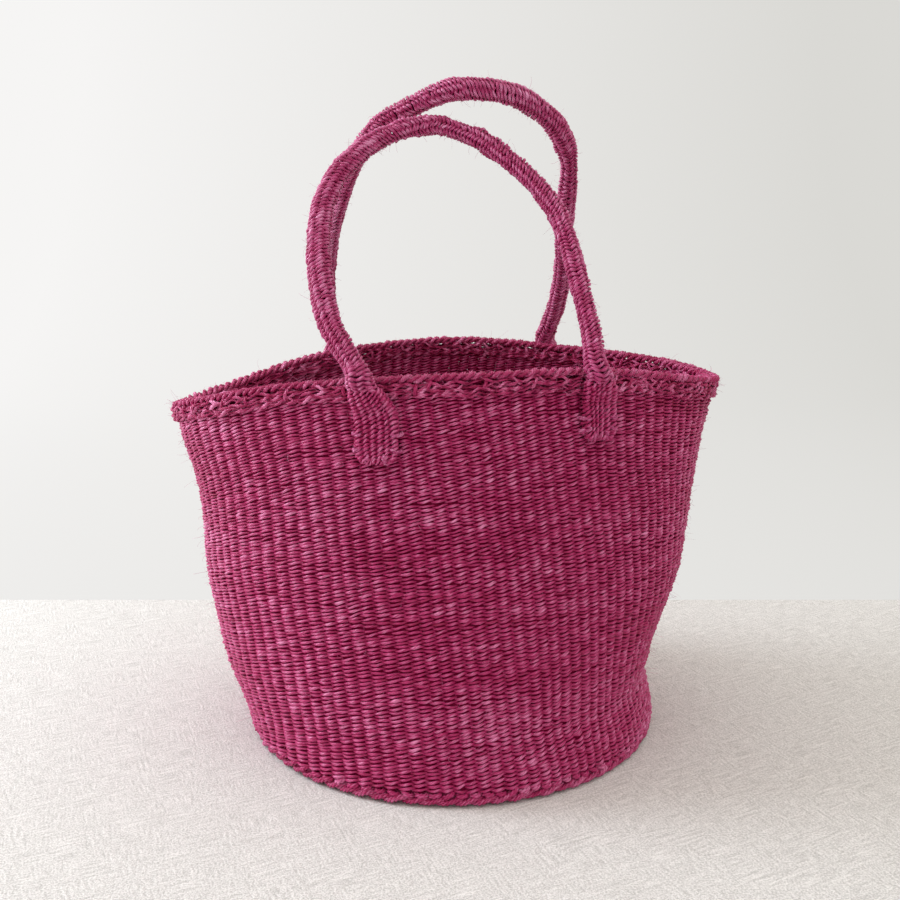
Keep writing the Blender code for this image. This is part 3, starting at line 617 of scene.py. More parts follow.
def crossed_cords(name, height, swing, radius, seed):
    """Cords that cross over and under each other inside a circle."""
    lines, tints = [], []
    reach = START_RADIUS - radius
    generator = np.random.default_rng(seed)
    for way in (0, 1):
        for k in range(-3, 4):
            half = math.sqrt(max(reach ** 2 - (k * CORD_SPACING) ** 2, 0.0004 ** 2))
            along = np.linspace(-half, half, 40)
            wave = swing * np.cos(math.pi * (along / CORD_SPACING + k)) * (1 if way == 0 else -1)
            dive = -0.0012 * ease((np.abs(along) - half + 0.002) / 0.002)
            line = [along, np.full(40, k * CORD_SPACING)]
            lines.append(np.stack([line[way], line[1 - way], height + wave + dive], -1))
            tints.append(np.full(40, generator.uniform(0.35, 0.65)))
    middle = np.array(lines)
    run = unit(np.gradient(middle, axis=1))
    side = unit(np.cross(run, (0, 0, 1)))
    rings = yarn_rings(middle, side * radius * 1.35, np.cross(side, run) * radius * 0.9, 8)
    return tube_mesh(name, rings, np.array(tints), False)


dress(crossed_cords("base_start_cords", 0.0062, 0.0006, 0.0012, 5), wall_sisal, "basket", "base_start")
dress(crossed_cords("base_start_underside", 0.0028, 0.0006, 0.0012, 6), wall_sisal, "basket", "base_disc")


# %% Twine the base
def foot_ring(reach, height, out=0.0):
    """The foot's oval, shrunk to a share of its reach."""
    width = np.where(np.cos(AROUND) < 0, FOOT_LEFT, FOOT_RIGHT)
    face = np.stack([width * np.cos(AROUND), FOOT_DEPTH * np.sin(AROUND), 0 * AROUND], -1)
    normal = unit(np.stack([FOOT_DEPTH * np.cos(AROUND), width * np.sin(AROUND), 0 * AROUND], -1))
    return (face + normal * out) * reach + np.array((0, 0, height))


BASE_ZONES = ((0.0140, 0.030, 28), (0.030, 0.060, 56), (0.060, FOOT_DEPTH, 112))
BASE_TWINING = WALL_TWINING._replace(depth=0.0011, plump=0.0007)
for zone, (near, far, ribs) in enumerate(BASE_ZONES):
    shares = np.linspace(near, far, 12) / FOOT_DEPTH
    skin = Skin([foot_ring(share, 0.0027, -(BORDER_WIDTH + GAP) * share) for share in shares])
    count = round(skin.length / 0.0023)
    places = (np.arange(count) + 0.5) * skin.length / count
    for part, rows in enumerate(np.array_split(np.arange(count), (1, 1, 3)[zone])):
        piece = twine("base_weave_%d_%d" % (zone + 1, part + 1), skin, places, skin.length / count, ribs,
                      BASE_TWINING, seed=1000 + 100 * zone, part=rows)
        dress(piece, wall_sisal, "basket", "base_disc")
    spots, out, up, beside = skin.rows(np.linspace(0, skin.length, 8), np.arange(ribs) / ribs)
    turned = [np.transpose(item, (1, 0, 2)) for item in (spots, beside, out)]
    wide = np.linalg.norm(turned[0] * (1, 1, 0), axis=-1, keepdims=True) * math.pi / ribs * 0.92
    rings = yarn_rings(turned[0], turned[1] * wide, turned[2] * 0.0007, 6)
    piece = tube_mesh("base_warps_%d" % (zone + 1), rings, np.full(rings.shape[:2], 0.3), False)
    dress(piece, painted_shade_warp_sisal, "basket", "base_disc")

# %% The ridge round the foot
outer = even_path(foot_ring(1.0, 0.0033, -0.0027), 0.0010, True)
inner = even_path(foot_ring(1.0, 0.0027, -0.0056), 0.0012, True)
piece = plied("base_edge_cord", outer, True, 2, 0.00110, 0.00150, 0.0190, seed=31, upward=(0, 0, 1))
dress(piece, rim_sisal, "basket", "base_border")
piece = plied("base_inner_cord", inner, True, 2, 0.00085, 0.00115, 0.0140, seed=32, sides=5, upward=(0, 0, 1))
dress(piece, rim_sisal, "basket", "base_border")

# %% [markdown]
# ## The rim
# The warps' ends are folded over at the rim and plaited back into it, so the rim is thicker and
# rougher than the wall. From outside one sees a cord with slanting plies along the top, two rows of
# large stitches below it, and short upright wraps where ends were tucked in. The inner side is the same.


# %% Paths round the rim
def rim_ring(down, out):
    return wall_point(AROUND, rim_height(AROUND) - down, out)


def rim_place(share, down, out):
    """Points by share of the way round, measured on the rim itself."""
    angle = angle_at(share, rim_height(AROUND) - 0.002)
    return wall_point(angle, rim_height(angle) - down, out)


RIM_GIRTH = np.linalg.norm(np.diff(rim_ring(0.002, 0.0), axis=0), axis=1).sum()
print("round the mouth: %.0f mm" % (1000 * RIM_GIRTH))
for name, down, out, swing, radius, seed in (("rim_outer_cord", 0.0025, 0.0001, 0.00115, 0.00130, 41),
                                             ("rim_inner_cord", 0.0028, -0.0046, 0.00125, 0.00140, 42)):
    path = even_path(rim_ring(down, out), 0.0010, True)
    dress(plied(name, path, True, 2, swing, radius, 0.0096, seed, upward=(0, 0, 1)), rim_sisal, "basket",
          "rim_binding")
for k, (down, out) in enumerate(((0.0062, -0.0014), (0.0062, -0.0034), (0.0086, -0.0024))):
    path = even_path(rim_ring(down, out), 0.0020, True)
    piece = plied("rim_warp_ends_%d" % (k + 1), path, True, 2, 0.0006, 0.0009, 0.0100, 45 + k, 6, (0, 0, 1),
                  yarns=1)
    dress(piece, painted_shade_warp_sisal, "basket", "rim_core")

# %% Large stitches below the cords
RIM_TWINING = Twining(0.00115, 0.00090, 0.00092, 0.47, 0.30, 2.8, 0.00022, 8, 6, 3)
for name, out, seed in (("rim_outer_stitches", 0.0004, 300), ("rim_inner_stitches", -0.0049, 350)):
    skin = Skin([rim_ring(down, out) for down in np.linspace(0.0122, 0.0044, 6)])
    places = skin.length * (np.arange(4) + 0.5) / 4
    piece = twine(name, skin, places, skin.length / 4, RIBS, RIM_TWINING, seed, chevron=np.array((0, 1, 0, 1)),
                  spread=lambda share, level: rib_spread(share, 1.0 + 0 * level))
    dress(piece, rim_sisal, "basket", "rim_binding")


# %% Short wraps over the large stitches
def rim_wraps(name, side, share_used, seed):
    """Short yarn wraps, some upright and some tilted, each of which dives in at both ends."""
    generator = np.random.default_rng(seed)
    ribs = np.flatnonzero(generator.random(RIBS) < share_used)
    count = len(ribs)
    run = np.linspace(0, 1, 12)[None, :]
    share = rib_spread((ribs + 0.5 + generator.normal(0, 0.14, count)) / RIBS, 1.0)[:, None]
    tilt = generator.normal(0.0014, 0.0018, count)[:, None]
    down = generator.uniform(0.0034, 0.0060, count)[:, None] + generator.uniform(0.0038, 0.0062, count)[:, None] * run
    proud = 0.0026 * np.sin(math.pi * run) ** 0.45 - 0.0006
    out = proud if side > 0 else -WALL_THICKNESS - proud
    middle = rim_place(share + tilt * (0.5 - run) / RIM_GIRTH, down, out)
    return short_stitches(name, middle, generator.uniform(0.00075, 0.00105, count),
                          generator.uniform(0.35, 0.8, count))


dress(rim_wraps("rim_outer_wraps", 1, 0.50, 61), rim_sisal, "basket", "rim_binding")
dress(rim_wraps("rim_inner_wraps", -1, 0.5, 62), rim_sisal, "basket", "rim_binding")

# %% [markdown]
# ## The handles
# Each handle is a rope whose sleeve is twined over a bundle of cords. At both ends the sleeve opens
# flat, comes down over the rim and is sewn to the outside of the wall, so the rope and its flat ends are
# one weave and are made as one here, from each foot to the top of the arch.

# %% Sizes of the handles
ROPE_DIAMETER, ROPE_INSET = 0.0124, 0.0013
SEAT_GAP, PART_GAP = 0.0006, 0.0004
TAB_THICKNESS, TAB_CLEAR, TAB_STEP, SEWN_SHARE = 0.0048, 0.0010, 0.0055, 0.62
RIB_STARTS = 48
FRONT_ROUTE = ((0.000, 0.000), (-0.054, 0.086), (-0.105, 0.170), (-0.134, 0.265), (-0.149, 0.375),
               (-0.156, 0.492), (-0.147, 0.598), (-0.118, 0.700), (-0.062, 0.796), (0.016, 0.873),
               (0.100, 0.930), (0.190, 0.968), (0.285, 0.992), (0.403, 0.998), (0.517, 0.961),
               (0.617, 0.912), (0.710, 0.839), (0.798, 0.762), (0.865, 0.677), (0.914, 0.592),
               (0.947, 0.468), (0.964, 0.379), (0.979, 0.269), (0.994, 0.167), (1.002, 0.083),
               (1.000, 0.000))
BACK_ROUTE = ((0.000, 0.000), (-0.020, 0.133), (-0.021, 0.245), (-0.010, 0.332), (0.009, 0.424),
              (0.036, 0.510), (0.065, 0.587), (0.096, 0.651), (0.128, 0.717), (0.172, 0.784),
              (0.230, 0.847), (0.302, 0.901), (0.397, 0.940), (0.487, 0.975), (0.575, 0.996),
              (0.662, 0.998), (0.750, 0.990), (0.840, 0.965), (0.924, 0.918), (0.992, 0.862),
              (1.037, 0.795), (1.058, 0.725), (1.058, 0.628), (1.054, 0.527), (1.058, 0.414),
              (1.064, 0.321), (1.057, 0.226), (1.038, 0.126), (1.000, 0.000))
FRONT_RADII = ((0.00, 6.0), (0.08, 6.1), (0.12, 6.6), (0.25, 6.1), (0.40, 5.7), (0.52, 5.4), (0.56, 5.0),
               (0.60, 5.7), (0.68, 4.9), (0.72, 5.4), (0.88, 5.2), (0.92, 5.3), (1.00, 5.7))
BACK_RADII = ((0.00, 5.8), (0.30, 5.7), (0.46, 5.7), (0.50, 6.5), (0.57, 6.1), (0.61, 6.5), (0.66, 6.0),
              (0.71, 6.5), (0.75, 4.8), (0.79, 5.7), (0.90, 5.7), (1.00, 5.9))
Tab = namedtuple("Tab", "name rim_place foot_place width drop")
Handle = namedtuple("Handle", "name side rise lean route radii tabs")
HANDLES = (
    Handle("front", -1, 0.1572, math.radians(33.0), FRONT_ROUTE, FRONT_RADII,
           (Tab("left", -0.288, -0.226, 0.0226, 0.0440), Tab("right", 0.474, 0.482, 0.0180, 0.0375))),
    Handle("back", 1, 0.1819, math.radians(32.3), BACK_ROUTE, BACK_RADII,
           (Tab("left", -0.469, -0.450, 0.0210, 0.0420), Tab("right", 0.410, 0.395, 0.0200, 0.0400))),
)


def rim_corner(angle):
    """Middle of the rounding of the rim's outer top corner."""
    return wall_point(angle, rim_height(angle) - BAND_ROUND, GAP + BAND_THICKNESS - BAND_ROUND)


def wall_angle(x, height, side):
    """Angle at which the front (side -1) or back (side 1) of the wall passes x."""
    width = MOUTH_LEFT
    for _ in range(5):
        angle = side * np.arccos(np.clip(x / width, -1.0, 1.0))
        width = half_widths(angle, height)[0]
    return angle


# %% The line that a handle turns about, and its directions
class Hinge:
    def __init__(self, handle):
        self.handle = handle
        angles = [handle.side * math.acos(tab.rim_place) for tab in handle.tabs]
        self.tops = [float(rim_height(angle)) for angle in angles]
        self.seats = [rim_corner(angle) for angle in angles]
        chord = self.seats[1] - self.seats[0]
        self.span = np.linalg.norm(chord)
        self.along = chord / self.span
        level = unit(np.cross((0, 0, 1), self.along))
        self.outward = level * math.copysign(1, level[1] * handle.side)
        up = np.cross(self.along, self.outward)
        self.up = up * math.copysign(1, up[2])
        self.rise = self.up * math.cos(handle.lean) - self.outward * math.sin(handle.lean)
        self.out = self.radial(handle.lean)
        self.centres = [seat + self.out * (BAND_ROUND + SEAT_GAP + ROPE_DIAMETER / 2) for seat in self.seats]

    def radial(self, turn):
        return self.outward * math.cos(turn) + self.up * math.sin(turn)

    def slope(self, end):
        """Sideways travel of the rope for each metre up, where it leaves the rim."""
        here, there = (self.handle.route[0], self.handle.route[1]) if end == 0 else self.handle.route[:-3:-1]
        return (there[0] - here[0]) * self.span / ((there[1] - here[1]) * self.handle.rise)

    def rope_line(self, shares):
        route = np.array(self.handle.route)
        places = np.arange(len(route)) / (len(route) - 1)
        line = through(places, route, shares)
        base = self.centres[0] + self.rise * PART_GAP / 2
        return base + line[:, :1] * self.span * self.along + line[:, 1:] * self.handle.rise * self.rise


TURN = np.arange(RIB_STARTS) / RIB_STARTS * math.tau


def section(wide, thick, flat_share, inset=ROPE_INSET):
    """Points round a section, from the rope's ellipse (share 0) to the flat end's rounded oblong (1)."""
    power = 2 / blend(2, 4, flat_share)
    x = np.sign(np.cos(TURN)) * np.abs(np.cos(TURN)) ** power * (wide / 2 - inset)
    y = np.sign(np.sin(TURN)) * np.abs(np.sin(TURN)) ** power * (thick / 2 - inset)
    return x, y


# %% Rings from a flat foot up over the rim and along half of the rope
def tab_rings(hinge, end):
    """Rings of the flat end, from its foot on the wall to the rope's end over the rim."""
    handle, tab = hinge.handle, hinge.handle.tabs[end]
    side, lean, top, rope = handle.side, handle.lean, hinge.tops[end], hinge.centres[end]
    slope, seat = hinge.slope(end), hinge.seats[end]
    band_foot, foot = top - BAND_HEIGHT, top - tab.drop
    foot_x = tab.foot_place * (MOUTH_LEFT if tab.foot_place < 0 else MOUTH_RIGHT)
    settle = (rope[2] - foot) * SEWN_SHARE

    def middle_x(height):
        share = np.clip((rope[2] - height) / settle, 0, 1)
        return blend(rope[0], foot_x, ease(share)) - slope * settle * share * (1 - share) ** 2

    def seat_out(height):
        return blend(GAP + BAND_THICKNESS + GAP, GAP, ease((band_foot - TAB_CLEAR - height) / TAB_STEP))

    def point(across, height, out):
        angle = wall_angle(middle_x(height), height, side)
        width, depth = half_widths(angle, height)
        pace = np.hypot(width * np.sin(angle), depth * np.cos(angle))
        return wall_point(angle - side * across / pace, height, out)

    rings = []
    flat_top = band_foot - TAB_CLEAR - TAB_STEP
    round_height = 0.30 * tab.width
    for share in (0.97, 0.90, 0.75, 0.55, 0.30, 0.0):
        narrow = (1 - share ** 3) ** (1 / 3)
        rings.append((foot + round_height * (1 - share), tab.width * narrow, TAB_THICKNESS, 1.0))
    for share in (0.33, 0.66, 1.0):
        rings.append((blend(foot + round_height, flat_top, share), tab.width, TAB_THICKNESS, 1.0))
    for height, wide, deep in ((band_foot - TAB_CLEAR, 0.80, 0.85), (top - BAND_HEIGHT * 0.55, 0.34, 0.50)):
        rings.append((height, blend(ROPE_DIAMETER, tab.width, wide), blend(ROPE_DIAMETER, TAB_THICKNESS, deep),
                      deep))
    placed = []
    for height, wide, deep, flat_share in rings:
        u, v = section(wide * blend(1.0, TAB_SPREAD, flat_share), deep, flat_share)
        placed.append(point(side * u, height, seat_out(height) + deep / 2 + v))
    for bend, wide_share, deep_share in ((0.0, 0.08, 0.16), (0.5, 0.02, 0.05), (1.0, 0.0, 0.0)):
        deep = blend(ROPE_DIAMETER, TAB_THICKNESS, deep_share)
        wide = blend(ROPE_DIAMETER * math.hypot(1.0, slope), tab.width, wide_share)
        drop = (BAND_ROUND + SEAT_GAP + deep / 2) * (math.sin(lean) - math.sin(lean * bend))
        x = middle_x(rope[2] - drop)
        angle = wall_angle(x, top, side)
        corner = blend(rim_corner(angle), seat + hinge.along * (x - rope[0]), bend)
        outward = unit(blend(wall_out(angle, top), hinge.outward, bend))
        radial = outward * math.cos(lean * bend) + hinge.up * math.sin(lean * bend)
        centre = corner + radial * (BAND_ROUND + SEAT_GAP + deep / 2)
        across = unit(np.cross(radial, hinge.rise if bend == 1.0 else hinge.up))
        u, v = section(wide, deep, deep_share)
        placed.append(centre + across * u[:, None] + radial * v[:, None])
    return placed


def rope_shares(hinge, end, step):
    """Even places along half of the rope, from one end to the top of the arch."""
    fine = np.linspace(0, 1, 1201)
    line = hinge.rope_line(fine)
    reach = np.concatenate([[0.0], np.cumsum(np.linalg.norm(np.diff(line, axis=0), axis=1))])
    half = np.arange(step, reach[-1] / 2, step)
    wanted = np.append(half, reach[-1] / 2)
    return np.interp(wanted if end == 0 else reach[-1] - wanted, reach, fine)


def rope_rings(hinge, end, step=0.005):
    shares = rope_shares(hinge, end, step)
    line = hinge.rope_line(shares)
    tangent = unit(np.gradient(line, axis=0))
    across = unit(np.cross(hinge.out, tangent))
    radius = table_value(hinge.handle.radii, shares) / 1000 - ROPE_INSET
    turned = across[:, None] * np.cos(TURN)[:, None] + hinge.out * np.sin(TURN)[:, None]
    return list(line[:, None] + radius[:, None, None] * turned)


# %% Twine the handles
TAB_RIBS, ROPE_RIBS = 12, 8
TAB_TWINING = Twining(0.00130, 0.00085, 0.00076, 0.45, 0.26, 1.0, 0.00010, 6, 6, 1)
ROPE_TWINING = Twining(0.00105, 0.00090, 0.00082, 0.45, 0.32, 1.3, 0.00026, 6, 6, 1)
TAB_SPREAD = 1.07
NECK_STATION, SEAT_STATION = 10, 13     # rings where the rope's weave starts and where it leaves the rim
hinges = [Hinge(handle) for handle in HANDLES]


def dress_bent(item, material, node, stands_for_it=True):
    """Give a piece its finish, fix its place into its points, and hide the solid that it stands for, if it does."""
    item.data.materials.append(material)
    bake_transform(item)
    if stands_for_it:
        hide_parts(node)
    print("%s: %d faces" % (item.name, len(item.data.polygons)))


handle_skins = {}
for hinge in hinges:
    name = hinge.handle.name
    for end, tab in enumerate(hinge.handle.tabs):
        stations = np.array(tab_rings(hinge, end) + rope_rings(hinge, end))
        middle = stations.mean(axis=1)
        places = np.concatenate([[0.0], np.cumsum(np.linalg.norm(np.diff(middle, axis=0), axis=1))])
        skin = Skin(through(places, stations, np.linspace(0, places[-1], 320)), 0.7)
        count = round(skin.length / 0.00235)
        pitch = skin.length / count
        rows = (np.arange(count) + 0.5) * pitch
        if end == 0:
            rows = np.append(rows, skin.length)     # one more row closes the joint at the top of the arch
            count += 1
        along = np.interp(places, np.linspace(0, places[-1], 320), skin.along)
        neck_row, seat_row = (int(np.searchsorted(rows, along[k])) for k in (NECK_STATION, SEAT_STATION))
        seed = 800 + 50 * end + (400 if name == "back" else 0)
        chevron = ease(0.3 + 1.0 * smooth_noise((count, 8), seed + 9, (16, 8))[:, 0])
        piece = twine("%s_tab_weave_%s" % (name, tab.name), skin, rows, pitch, TAB_RIBS, TAB_TWINING, seed,
                      part=np.arange(neck_row), spread=lambda share, level: share + 0.05 + 0 * level)
        dress(piece, wall_sisal, "basket", "%s_tab_%s" % (name, tab.name))
        for title, part, node in (("neck", np.arange(neck_row, seat_row), "%s_tab_%s" % (name, tab.name)),
                                  ("handle", np.arange(seat_row, count), name + "_handle_sleeve")):
            piece = twine("%s_%s_weave_%s" % (name, title, tab.name), skin, rows, pitch, ROPE_RIBS, ROPE_TWINING,
                          seed + 20, part=part, chevron=chevron,
                          spread=lambda share, level: share + 0.25 / ROPE_RIBS + 0 * level)
            dress_bent(piece, rope_sisal, node)
        handle_skins[name, tab.name] = skin
        print("%s: %d rows, %.0f mm long" % (piece.name, count - seat_row, 1000 * skin.length))

# %% The bundle inside each rope
for hinge in hinges:
    name = hinge.handle.name
    line = even_path(hinge.rope_line(np.linspace(0, 1, 400)), 0.0015)
    core = plied(name + "_handle_bundle", line, False, 3, 0.0017, 0.0020, 0.030, 77, 7, yarns=1)
    dress_bent(core, painted_shade_warp_sisal, name + "_handle_core")

# %% [markdown]
# ## Sewing
# Each flat end is sewn on with a thick two-ply twine. It comes out through the end, goes over its edge and
# dives into the wall beside it, six times round the foot.

# %% Sew the flat ends to the wall
STITCHES = 6
STITCH_INSET, STITCH_OVERHANG, STITCH_LIFT, STITCH_TAIL = 0.0030, 0.0016, 0.0013, 0.0040


def stitch_line(hinge, end):
    """Corners of the twine's way, as in the solid model."""
    handle, tab = hinge.handle, hinge.handle.tabs[end]
    top, rope = hinge.tops[end], hinge.centres[end]
    band_foot, foot = top - BAND_HEIGHT, top - tab.drop
    foot_x = tab.foot_place * (MOUTH_LEFT if tab.foot_place < 0 else MOUTH_RIGHT)
    settle = (rope[2] - foot) * SEWN_SHARE
    half, round_height = tab.width / 2, tab.width * 0.35
    side_height = (band_foot - TAB_CLEAR - TAB_STEP - foot - round_height) * SEWN_SHARE
    curve = math.pi / 2 * math.hypot(half, round_height) / math.sqrt(2)

    def place(spot, out):
        share = np.clip((rope[2] - spot[1]) / settle, 0, 1)
        x = blend(rope[0], foot_x, ease(share)) - hinge.slope(end) * settle * share * (1 - share) ** 2
        angle = wall_angle(x, spot[1], handle.side)
        width, depth = half_widths(angle, spot[1])
        pace = np.hypot(width * np.sin(angle), depth * np.cos(angle))
        return wall_point(angle - handle.side * spot[0] / pace, spot[1], out)

    corners = []
    for k in range(STITCHES):
        share = (k + 0.5) / STITCHES
        reach = abs(share - 0.5) * 2 * (side_height + curve)
        left = -1 if share < 0.5 else 1
        if reach < curve:
            turn = reach / curve * math.pi / 2
            spot = np.array((half * math.sin(turn), round_height * (1 - math.cos(turn))))
            away = unit(np.array((math.sin(turn) / half, -math.cos(turn) / round_height)))
        else:
            spot, away = np.array((half, round_height + reach - curve)), np.array((1.0, 0.0))
        spot, away = np.array((left * spot[0], foot + spot[1])), np.array((left * away[0], away[1]))
        inside, beside = spot - away * STITCH_INSET, spot + away * STITCH_OVERHANG
        over, under = GAP + TAB_THICKNESS + STITCH_LIFT * 0.75, -WALL_THICKNESS - STITCH_LIFT * 0.7
        corners += [place(inside, under), place(inside, over), place(spot, over * 0.86), place(beside, 0.0012),
                    place(beside, under)]
    return np.array(corners)


for hinge in hinges:
    for end, tab in enumerate(hinge.handle.tabs):
        corners = stitch_line(hinge, end)
        places = np.concatenate([[0.0], np.cumsum(np.linalg.norm(np.diff(corners, axis=0), axis=1))])
        bent = [corners[0]]
        for before, corner, after in zip(corners, corners[1:], corners[2:]):
            for other in (before, after):
                gap = other - corner
                bent.append(corner + gap * min(0.0011 / np.linalg.norm(gap), 0.42))
        bent.append(corners[-1])
        path = even_path(bent, 0.0005)
        for _ in range(2):
            path[1:-1] = (path[:-2] + 2 * path[1:-1] + path[2:]) / 4
        node = "%s_stitching_%s" % (hinge.handle.name, tab.name)
        piece = plied(node + "_twine", path, False, 2, 0.00048, 0.00072, 0.0060, 91 + end, 6, tint=0.65)
        dress(piece, twine_sisal, "basket", node)

# %% [markdown]
# ## Loose fibres
# Sisal sheds. Fine hairs stand off every edge and catch the light, and without them the silhouette looks
# like plastic. They are real strands here, each a bent three-sided tube a tenth of a millimetre thick.


# %% Grow hairs from points
def hairs(name, roots, normals, seed, longest=0.012, stand=0.5):
    generator = np.random.default_rng(seed)
    count, steps = len(roots), 7
    length = 0.0015 + longest * generator.beta(1.2, 3.0, count)
    way = unit(normals * stand + generator.normal(0, 0.5, (count, 3)) * (1, 1, 0.6))
    axis = unit(generator.normal(0, 1, (count, 3)))
    bend = generator.normal(0, 1.6, count) / steps
    line = [roots - normals * 0.0006]
    ways = []
    for _ in range(steps):
        ways.append(way)
        line.append(line[-1] + way * (length / steps)[:, None])
        way = unit(way + np.cross(axis, way) * bend[:, None])
    ways.append(way)
    middle, run = np.stack(line, 1), np.stack(ways, 1)
    side = unit(np.cross(run, axis[:, None] + 0.01))
    radius = (np.linspace(1.0, 0.45, steps + 1)[None, :] * generator.uniform(0.00005, 0.00010, count)[:, None])
    rings = yarn_rings(middle, side * radius[..., None], np.cross(run, side) * radius[..., None], 3)
    tint = np.repeat(generator.uniform(0.4, 1.0, count)[:, None], steps + 1, axis=1)
    return tube_mesh(name, rings, tint, False)


def scatter(skin, count, seed, low=0.0, high=1.0, out=0.0018):
    """Random points on a skin, with the direction out of it."""
    generator = np.random.default_rng(seed)
    places = np.sort(generator.uniform(low, high, count)) * skin.length
    around = generator.random(count)
    spot, away = [], []
    for place, share in zip(places, around):
        near = skin.rows([place], np.array([share, share + 0.005, share + 0.010]) % 1.0)
        spot.append(near[0][0][1] + near[1][0][1] * out)
        away.append(near[1][0][1])
    return np.array(spot), np.array(away)


spots, away = scatter(wall_skin, 1500, 11)
dress(hairs("wall_fibres", spots, away, 12), fibre_sisal, "basket", "wall")
spots, away = scatter(wall_skin, 2600, 17, out=0.0021)
dress(hairs("wall_lying_fibres", spots, away, 18, 0.010, 0.12), fibre_sisal, "basket", "wall")
spots, away = scatter(wall_skin, 500, 13, 0.55, 1.0, -0.0018)
dress(hairs("wall_inner_fibres", spots, -away, 14), fibre_sisal, "basket", "wall")
generator = np.random.default_rng(15)
share = generator.random(700)
down, out = generator.uniform(0.0, 0.011, 700), 0.002
roots = rim_place(share, down, out)
away = unit(roots - rim_place(share, down + 0.002, -0.006))
dress(hairs("rim_fibres", roots, away, 16), fibre_sisal, "basket", "rim_binding")
for k, ((name, tab_name), skin) in enumerate(handle_skins.items()):
    spots, away = scatter(skin, 600, 20 + k, out=0.0011)
    piece = hairs("%s_handle_fibres_%s" % (name, tab_name), spots, away, 30 + k, 0.009, 0.35)
    hinge = hinges[0] if name == "front" else hinges[1]
    dress_bent(piece, fibre_sisal, name + "_handle_sleeve", stands_for_it=False)

# %% [markdown]
# ## Studio
# The basket stands on a pale mat that ends just behind it. The mat lies on a white sweep, a sheet that
# curves up into a backdrop, so that there is no corner in the picture. One large soft light hangs at the
# upper left, as the window does in the photograph, and the air of the room fills the shadows.


# %% Floor, backdrop and lights
def plain(name, code, roughness=0.9):
    material = bpy.data.materials.new(name)
    material.use_nodes = True
    material.node_tree.nodes["Principled BSDF"].inputs["Base Color"].default_value = dye(code)
    material.node_tree.nodes["Principled BSDF"].inputs["Roughness"].default_value = roughness
    return material


def stage_sheet(name, outline, half_width, material):
    """A sheet that follows an outline of (y, z) places, as wide as asked."""
    points = [(x, y, z) for y, z in outline for x in (-half_width, half_width)]
    faces = [(k, k + 1, k + 3, k + 2) for k in range(0, len(points) - 2, 2)]
    mesh = bpy.data.meshes.new(name)
    mesh.from_pydata(points, [], faces)
    mesh.shade_smooth()
    mesh.materials.append(material)
    item = bpy.data.objects.new(name, mesh)
    bpy.context.scene.collection.objects.link(item)
    return item


def white_board(name, left, right):
    """A white board that camera rays and reflections see glowing at a set tone, made a little darker away from the
    window as painted shade.
    """
    material = plain(name, left)
    tree = material.node_tree
    where = add_node(tree, "ShaderNodeTexCoord")
    split = add_node(tree, "ShaderNodeSeparateXYZ", {0: where.outputs["Object"]})
    share = add_node(tree, "ShaderNodeMapRange", {"Value": split.outputs[0], "From Min": -0.9, "From Max": 0.9})
    tone = add_node(tree, "ShaderNodeValToRGB", {"Fac": share.outputs[0]})
    tone.color_ramp.elements[0].color, tone.color_ramp.elements[1].color = dye(left), dye(right)
    glow = add_node(tree, "ShaderNodeEmission", {"Color": tone.outputs[0], "Strength": 1.0})
    ray = add_node(tree, "ShaderNodeLightPath")
    seen = add_node(tree, "ShaderNodeMath", {0: ray.outputs["Is Camera Ray"], 1: ray.outputs["Is Glossy Ray"]},
                    operation="MAXIMUM")
    board = tree.nodes["Principled BSDF"]
    mix = add_node(tree, "ShaderNodeMixShader", {0: seen.outputs[0], 1: board.outputs[0], 2: glow.outputs[0]})
    tree.links.new(mix.outputs[0], tree.nodes["Material Output"].inputs["Surface"])
    return material


SLUBS = ((28.0, 16.0, 1.7), (112.0, 9.0, 1.5))     # degrees, and millimetres along and across
GRAIN = 1.0                                        # mm, about one thread of the mat


def woven_mat(name, pit, thread):
    """Undyed cotton in a crepe weave: short uneven slubs that run one way or the other, and a coarse grain."""
    material = plain(name, thread, 0.95)
    tree = material.node_tree
    where = add_node(tree, "ShaderNodeTexCoord")
    ways = []
    for angle, along, across in SLUBS:
        turned = add_node(tree, "ShaderNodeVectorRotate", {"Vector": where.outputs["Object"],
                                                           "Angle": math.radians(-angle)}, rotation_type="Z_AXIS")
        drawn = add_node(tree, "ShaderNodeVectorMath", {0: turned.outputs[0], 1: (1000 / along, 1000 / across, 0.0)},
                         operation="MULTIPLY")
        ways.append(add_node(tree, "ShaderNodeTexNoise", {"Vector": drawn.outputs[0], "Scale": 1.0, "Detail": 2.0}))
    patches = add_node(tree, "ShaderNodeTexNoise", {"Vector": where.outputs["Object"], "Scale": 60.0, "Detail": 1.0})
    choice = add_node(tree, "ShaderNodeMapRange", {"Value": patches.outputs[0], "From Min": 0.40, "From Max": 0.60})
    slubs = add_node(tree, "ShaderNodeMix", {0: choice.outputs[0], 2: ways[0].outputs["Fac"],
                                             3: ways[1].outputs["Fac"]}, data_type="FLOAT")
    grain = add_node(tree, "ShaderNodeTexNoise", {"Vector": where.outputs["Object"], "Scale": 1000 / GRAIN,
                                                  "Detail": 2.0, "Roughness": 0.7})
    height = add_node(tree, "ShaderNodeMath", {0: slubs.outputs[0], 1: 0.5, 2: grain.outputs[0]},
                      operation="MULTIPLY_ADD")
    # The tone follows the relief's height: darker in the pits of the weave, which is painted shade.
    level = add_node(tree, "ShaderNodeMapRange", {"Value": height.outputs[0], "From Min": 0.58, "From Max": 0.92})
    tone = add_node(tree, "ShaderNodeValToRGB", {"Fac": level.outputs[0]})
    tone.color_ramp.elements[0].color, tone.color_ramp.elements[1].color = dye(pit), dye(thread)
    relief = add_node(tree, "ShaderNodeBump", {"Height": height.outputs[0], "Strength": 0.5, "Distance": 0.0010})
    cloth = tree.nodes["Principled BSDF"]
    tree.links.new(tone.outputs[0], cloth.inputs["Base Color"])
    tree.links.new(relief.outputs[0], cloth.inputs["Normal"])
    return material


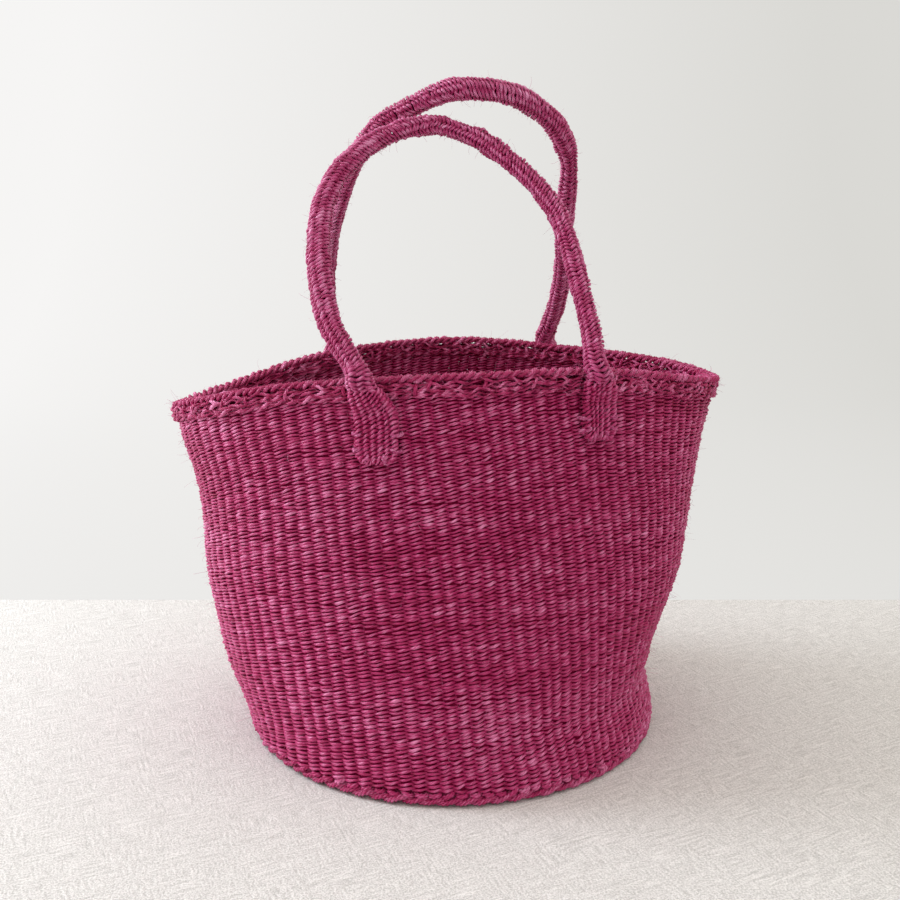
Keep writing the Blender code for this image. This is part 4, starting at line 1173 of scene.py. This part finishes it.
SWEEP_START, SWEEP_RADIUS = 1.2, 0.9
curve = [(SWEEP_START + SWEEP_RADIUS * math.sin(t), -0.002 + SWEEP_RADIUS * (1 - math.cos(t)))
         for t in np.linspace(0, math.pi / 2, 24)]
stage_sheet("white_sweep", [(-4.0, -0.002)] + curve + [(SWEEP_START + SWEEP_RADIUS, 3.5)], 4.0,
            white_board("white painted board", "#F6F5F4", "#DAD9D5"))
stage_sheet("pale_mat", [(-4.0, -0.0001), (0.205, -0.0001)], 4.0, woven_mat("undyed cotton mat", "#BAB8B5", "#ECEAE8"))


FRONT_AIR, BACK_AIR = 0.70, 1.12        # the white wall behind the basket is brighter than the room in front
LEVEL_AIR, HIGH_AIR = 0.75, 1.60        # and the ceiling is brighter than the walls


def lamp(name, place, aim, size, power, colour):
    data = bpy.data.lights.new(name, "AREA")
    data.shape, data.size, data.energy, data.color = "DISK", size, power, colour
    item = bpy.data.objects.new(name, data)
    bpy.context.scene.collection.objects.link(item)
    item.location = place
    way = unit(np.array(aim, float) - np.array(place))
    item.rotation_euler = (math.acos(-way[2]), 0.0, math.atan2(way[0], -way[1]) + math.pi)
    return item


lamp("window light", (-1.42, 0.14, 0.74), (0, 0, 0.10), 0.8, 20.0, (0.86, 0.93, 1.0))
world = bpy.data.worlds.new("studio air")
bpy.context.scene.world = world
world.use_nodes = True
air = world.node_tree.nodes["Background"]
air.inputs[0].default_value = dye("#F8F4EE")
where = add_node(world.node_tree, "ShaderNodeTexCoord")
split = add_node(world.node_tree, "ShaderNodeSeparateXYZ", {0: where.outputs["Generated"]})
level = add_node(world.node_tree, "ShaderNodeMapRange", {"Value": split.outputs[1], "From Min": -1.0, "From Max": 1.0,
                                                         "To Min": FRONT_AIR, "To Max": BACK_AIR})
height = add_node(world.node_tree, "ShaderNodeMapRange", {"Value": split.outputs[2], "To Min": LEVEL_AIR,
                                                          "To Max": HIGH_AIR})
strength = add_node(world.node_tree, "ShaderNodeMath", {0: level.outputs[0], 1: height.outputs[0]},
                    operation="MULTIPLY")
world.node_tree.links.new(strength.outputs[0], air.inputs[1])
far = add_node(world.node_tree, "ShaderNodeBackground", {0: dye("#E8E7E4"), 1: 1.0})
ray = add_node(world.node_tree, "ShaderNodeLightPath")
mix = add_node(world.node_tree, "ShaderNodeMixShader", {0: ray.outputs["Is Camera Ray"], 1: air.outputs[0],
                                                        2: far.outputs[0]})
world.node_tree.links.new(mix.outputs[0], world.node_tree.nodes["World Output"].inputs["Surface"])
bpy.context.scene.view_settings.view_transform = "Standard"
